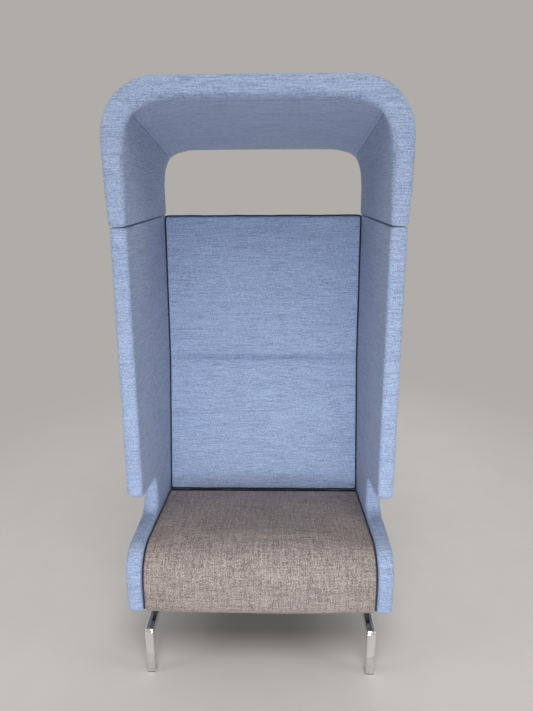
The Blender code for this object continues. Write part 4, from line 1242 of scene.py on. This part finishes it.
def make_back_piping():
    """One cord all round the edges of the back, which at the top lies on its rounded edge."""
    low = SEAT_REAR_HEIGHT + JOINT_LIFT
    facing = Vector((-math.cos(UPPER_RECLINE), math.sin(UPPER_RECLINE)))
    corner = Vector((back_line(BACK_TOP_HEIGHT, 0), BACK_TOP_HEIGHT))
    centre = corner - (facing + Vector((0, 1))) * BACK_TOP_ROUND
    upward = (facing * TOP_CORD_LEAN + Vector((0, 1))).normalized()
    ridge = centre + upward * (BACK_TOP_ROUND + PIPING_RADIUS)
    ring = rounded([
        (PIPING_PLACE, low, PIPING_TURN),
        (PIPING_PLACE, BACK_BEND_HEIGHT, 0),
        (PIPING_PLACE, ridge.y, PIPING_TURN),
        (-PIPING_PLACE, ridge.y, PIPING_TURN),
        (-PIPING_PLACE, BACK_BEND_HEIGHT, 0),
        (-PIPING_PLACE, low, PIPING_TURN),
    ])
    start = np.array(((0.0, low),))
    top_shift = ridge.x - back_line(ridge.y, 0)
    low_shift = -(PIPING_RADIUS + CUSHION_GAP) / math.cos(LOWER_RECLINE)
    points = []
    for x, z in even(np.vstack((start, ring, start)), PIPING_STEP / 2):
        at_top = max(0.0, 1 - (ridge.y - z) / PIPING_TURN)
        at_foot = max(0.0, 1 - (z - low) / PIPING_TURN)
        shift = top_shift * at_top + low_shift * at_foot - PIPING_LIFT * (1 - at_top) * (1 - at_foot)
        points.append((x, FRONT + back_line(z, 0) + shift, z))
    lay_piping("back_cord", points, 5.0, ["back_piping"])


# Under the seat


def flat_cloth(name, low, high, step, finish):
    """A level sheet of even faces, with its weave along X and Y."""
    size = high - low
    across, along = (max(4, round(length / step)) for length in size.xy)
    place = Matrix.Translation((low + high) / 2) @ Matrix.Diagonal((size.x, size.y, 1, 1))
    mesh = bpy.data.meshes.new(name)
    with worked(mesh) as bm:
        bmesh.ops.create_grid(bm, x_segments=across, y_segments=along, size=0.5, calc_uvs=False)
        bmesh.ops.transform(bm, matrix=place, verts=bm.verts)
    map_weave(mesh)
    return new_piece(name, mesh, finish)


def hang(sheet, thickness, node):
    """Gives a sheet its thickness and dresses it, hiding the solid it replaces."""
    wall = sheet.modifiers.new("thickness", "SOLIDIFY")
    wall.thickness = thickness
    wall.offset = 0
    settle(sheet)
    dress(sheet, [node])


def make_straps():
    """Webbing from the front rail to the rear rail, dipping a little between them."""
    for name in sorted(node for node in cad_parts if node.startswith("seat_web_")):
        low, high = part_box(name)
        strap = flat_cloth(name.replace("seat_web", "strap"), low, high, STRAP_STEP, "webbing")
        points = points_of(strap)
        share = (points[:, 1] - low.y) / (high.y - low.y)
        off_rails = eased(np.minimum(share, 1 - share), *STRAP_HOLD)
        points[:, 2] -= STRAP_DIP * np.sin(math.pi * share) * off_rails
        set_points(strap, points)
        hang(strap, high.z - low.z, name)


def make_dust_cover():
    """The underlining, stapled to the rails all round and hanging slightly between them."""
    low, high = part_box("dust_cover")
    cover = flat_cloth("underlining", low, high, DUST_COVER_STEP, "black_cloth")
    points = points_of(cover)
    edge = np.minimum(points[:, :2] - np.array(low.xy), np.array(high.xy) - points[:, :2]).min(axis=1)
    points[:, 2] -= DUST_COVER_SAG * eased(edge, *DUST_COVER_SAG_RUN)
    set_points(cover, points)
    ripple(cover, eased(edge, *DUST_COVER_HOLD), grain=14.0, height=0.0015, seed=71.0)
    hang(cover, DUST_COVER_THICK, "dust_cover")
    left, right = low.x + STAPLE_INSET, high.x - STAPLE_INSET
    front, rear = low.y + STAPLE_INSET, high.y - STAPLE_INSET
    z = low.z - STAPLE_LIFT
    corners = [(left, front, z), (right, front, z), (right, rear, z), (left, rear, z)]
    lines = [[corners[i], corners[(i + 1) % 4]] for i in range(4)]
    staples = STAPLES.run("underlining_staples", lines, finish=FINISHES["zinc_steel"], **STAPLE)
    dress(staples)


# Legs and the solids that stay


def make_legs():
    """The leg frames with their bends and edges shaded round."""
    for label in SIDES:
        node = f"leg_frame_{label}"
        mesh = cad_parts[node].data.copy()
        mesh.name = f"chrome_leg_{label}"
        with worked(mesh) as bm:
            bmesh.ops.remove_doubles(bm, verts=bm.verts, dist=1e-6)
        leg = new_piece(mesh.name, mesh, "chrome")
        dress(leg, [node])
        mesh.set_sharp_from_angle(angle=SMOOTH_ANGLE)


SOLID_FINISHES = {
    "side_core": "plywood", "hood_core": "plywood", "back_board": "plywood", "corner_block": "plywood",
    "base_rail": "black_timber", "floor_glide": "black_plastic",
    "hood_pin": "zinc_steel", "back_bracket": "zinc_steel", "leg_bolt": "zinc_steel",
    "panel_bolt": "zinc_steel", "panel_insert": "zinc_steel",
}


def finish_solids():
    """Gives finishes to the solids that no piece replaces, by the stems of their names."""
    for name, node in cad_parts.items():
        for stem, finish in SOLID_FINISHES.items():
            if name.startswith(stem):
                if not node.material_slots:
                    node.data.materials.append(FINISHES[finish])
                for slot in node.material_slots:
                    slot.material = FINISHES[finish]


# Stage, light and camera

BACKDROP = (0.43, 0.412, 0.395)
FLOOR_COLOUR = (0.85, 0.820, 0.795)
FLOOR_RADIUS = 30
FLOOR_NEAR = 1.2
FLOOR_FAR = 3.6
FLOOR_MOTTLE = (0.985, 1.015)
AMBIENT = 0.32
COOL = (0.84, 0.915, 1.0)
WARM = (1.0, 0.985, 0.92)


def seen_directly(nodes):
    """1 for rays from the camera, and for those that mirrors and glass send on."""
    path = nodes.add("LightPath").node.outputs
    mirrored = nodes.math("MAXIMUM", path["Is Camera Ray"], path["Is Glossy Ray"])
    return nodes.math("MAXIMUM", mirrored, path["Is Transmission Ray"])


def make_world():
    """Even light from all round, and a plain backdrop where the camera sees past the floor."""
    world = bpy.data.worlds.new("studio")
    world.use_nodes = True
    bpy.context.scene.world = world
    sky = Nodes(world.node_tree)
    light = sky.nodes["Background"]
    sky.fill(light.inputs["Color"], (1, 1, 1, 1))
    sky.fill(light.inputs["Strength"], AMBIENT)
    shown = sky.add("Background", {"Color": (*BACKDROP, 1)})
    mixed = sky.add("MixShader", {0: seen_directly(sky), 1: light.outputs[0], 2: shown})
    sky.fill(sky.nodes["World Output"].inputs["Surface"], mixed)


def make_floor():
    """A pale floor that fades into the backdrop far from the sofa."""
    mesh = bpy.data.meshes.new("floor")
    with worked(mesh) as bm:
        bmesh.ops.create_circle(bm, cap_ends=True, segments=96, radius=FLOOR_RADIUS)
    floor = new_piece("floor", mesh)
    paint = Finish("pale_floor", roughness=0.55, specular_ior_level=0.2)
    x, y, z = paint.place()
    mottle = paint.noise((6.0, 6.0, 0), (x, y, z), detail=4.0)
    low, high = (tuple(c * k for c in FLOOR_COLOUR) for k in FLOOR_MOTTLE)
    paint.colour(mottle, (0.3, low), (0.7, high))
    radius = paint.math("SQRT", paint.math("ADD", paint.math("POWER", x, 2.0), paint.math("POWER", y, 2.0)))
    far = paint.add("MapRange", {0: radius, 1: FLOOR_NEAR, 2: FLOOR_FAR, 3: 0.0, 4: 1.0},
                    interpolation_type="SMOOTHSTEP")
    share = paint.math("MULTIPLY", far, seen_directly(paint))
    glow = paint.add("Emission", {"Color": (*BACKDROP, 1)})
    mixed = paint.add("MixShader", {0: share, 1: paint.shader.outputs[0], 2: glow})
    paint.fill(paint.nodes["Material Output"].inputs["Surface"], mixed)
    mesh.materials.append(paint.material)
    return floor


def softbox(name, place, aim, size, watts, colour=(1, 1, 1), spread=180):
    lamp = bpy.data.lights.new(name, "AREA")
    lamp.shape = "SQUARE"
    lamp.size = size
    lamp.energy = watts
    lamp.color = colour
    lamp.spread = math.radians(spread)
    box = bpy.data.objects.new(name, lamp)
    bpy.context.scene.collection.objects.link(box)
    box.location = place
    box.visible_camera = False
    box.rotation_euler = (Vector(aim) - Vector(place)).to_track_quat("-Z", "Y").to_euler()
    return box


def flag_off(box, piece):
    """Keeps a lamp's light off one piece, as a flag held below the lamp does."""
    flagged = bpy.data.collections.new(f"{box.name}_flag")
    flagged.objects.link(piece)
    box.light_linking.receiver_collection = flagged
    flagged.collection_objects[0].light_linking.link_state = "EXCLUDE"


def light_studio(floor):
    make_world()
    centre = (0, 0, 1.05)
    low_front = softbox("low_front", (0.1, -2.9, 0.6), (0, 0, 0.7), size=0.8, watts=12.3,
                        colour=COOL, spread=80)
    flag_off(low_front, floor)
    for label, side in SIDES.items():
        softbox(label, (3.4 * side, -1.2, 2.4), centre, size=1.2, watts=14)
    softbox("top_front", (0.2, -2.4, 4.4), (0, 0, 0.4), size=2.0, watts=62, colour=WARM)
    softbox("behind", (0.6, 3.6, 2.6), centre, size=2.4, watts=24)


def make_camera():
    yaw = Matrix.Rotation(-CAMERA_YAW, 4, "Z")
    pitch = Matrix.Rotation(math.pi / 2 - CAMERA_PITCH, 4, "X")
    roll = Matrix.Rotation(CAMERA_ROLL, 4, "Z")
    data = bpy.data.cameras.new("camera")
    data.sensor_width = SENSOR
    data.lens = SENSOR * FOCAL_SHARE
    camera = bpy.data.objects.new("camera", data)
    bpy.context.scene.collection.objects.link(camera)
    camera.matrix_world = Matrix.Translation(CAMERA_PLACE) @ yaw @ pitch @ roll
    bpy.context.scene.camera = camera


make_camera()
light_studio(make_floor())
make_sides()
make_hood()
make_seat()
make_back()
make_rear_cover()
make_seat_piping()
make_back_piping()
make_straps()
make_dust_cover()
make_legs()
finish_solids()
bpy.context.scene.view_settings.view_transform = "Standard"
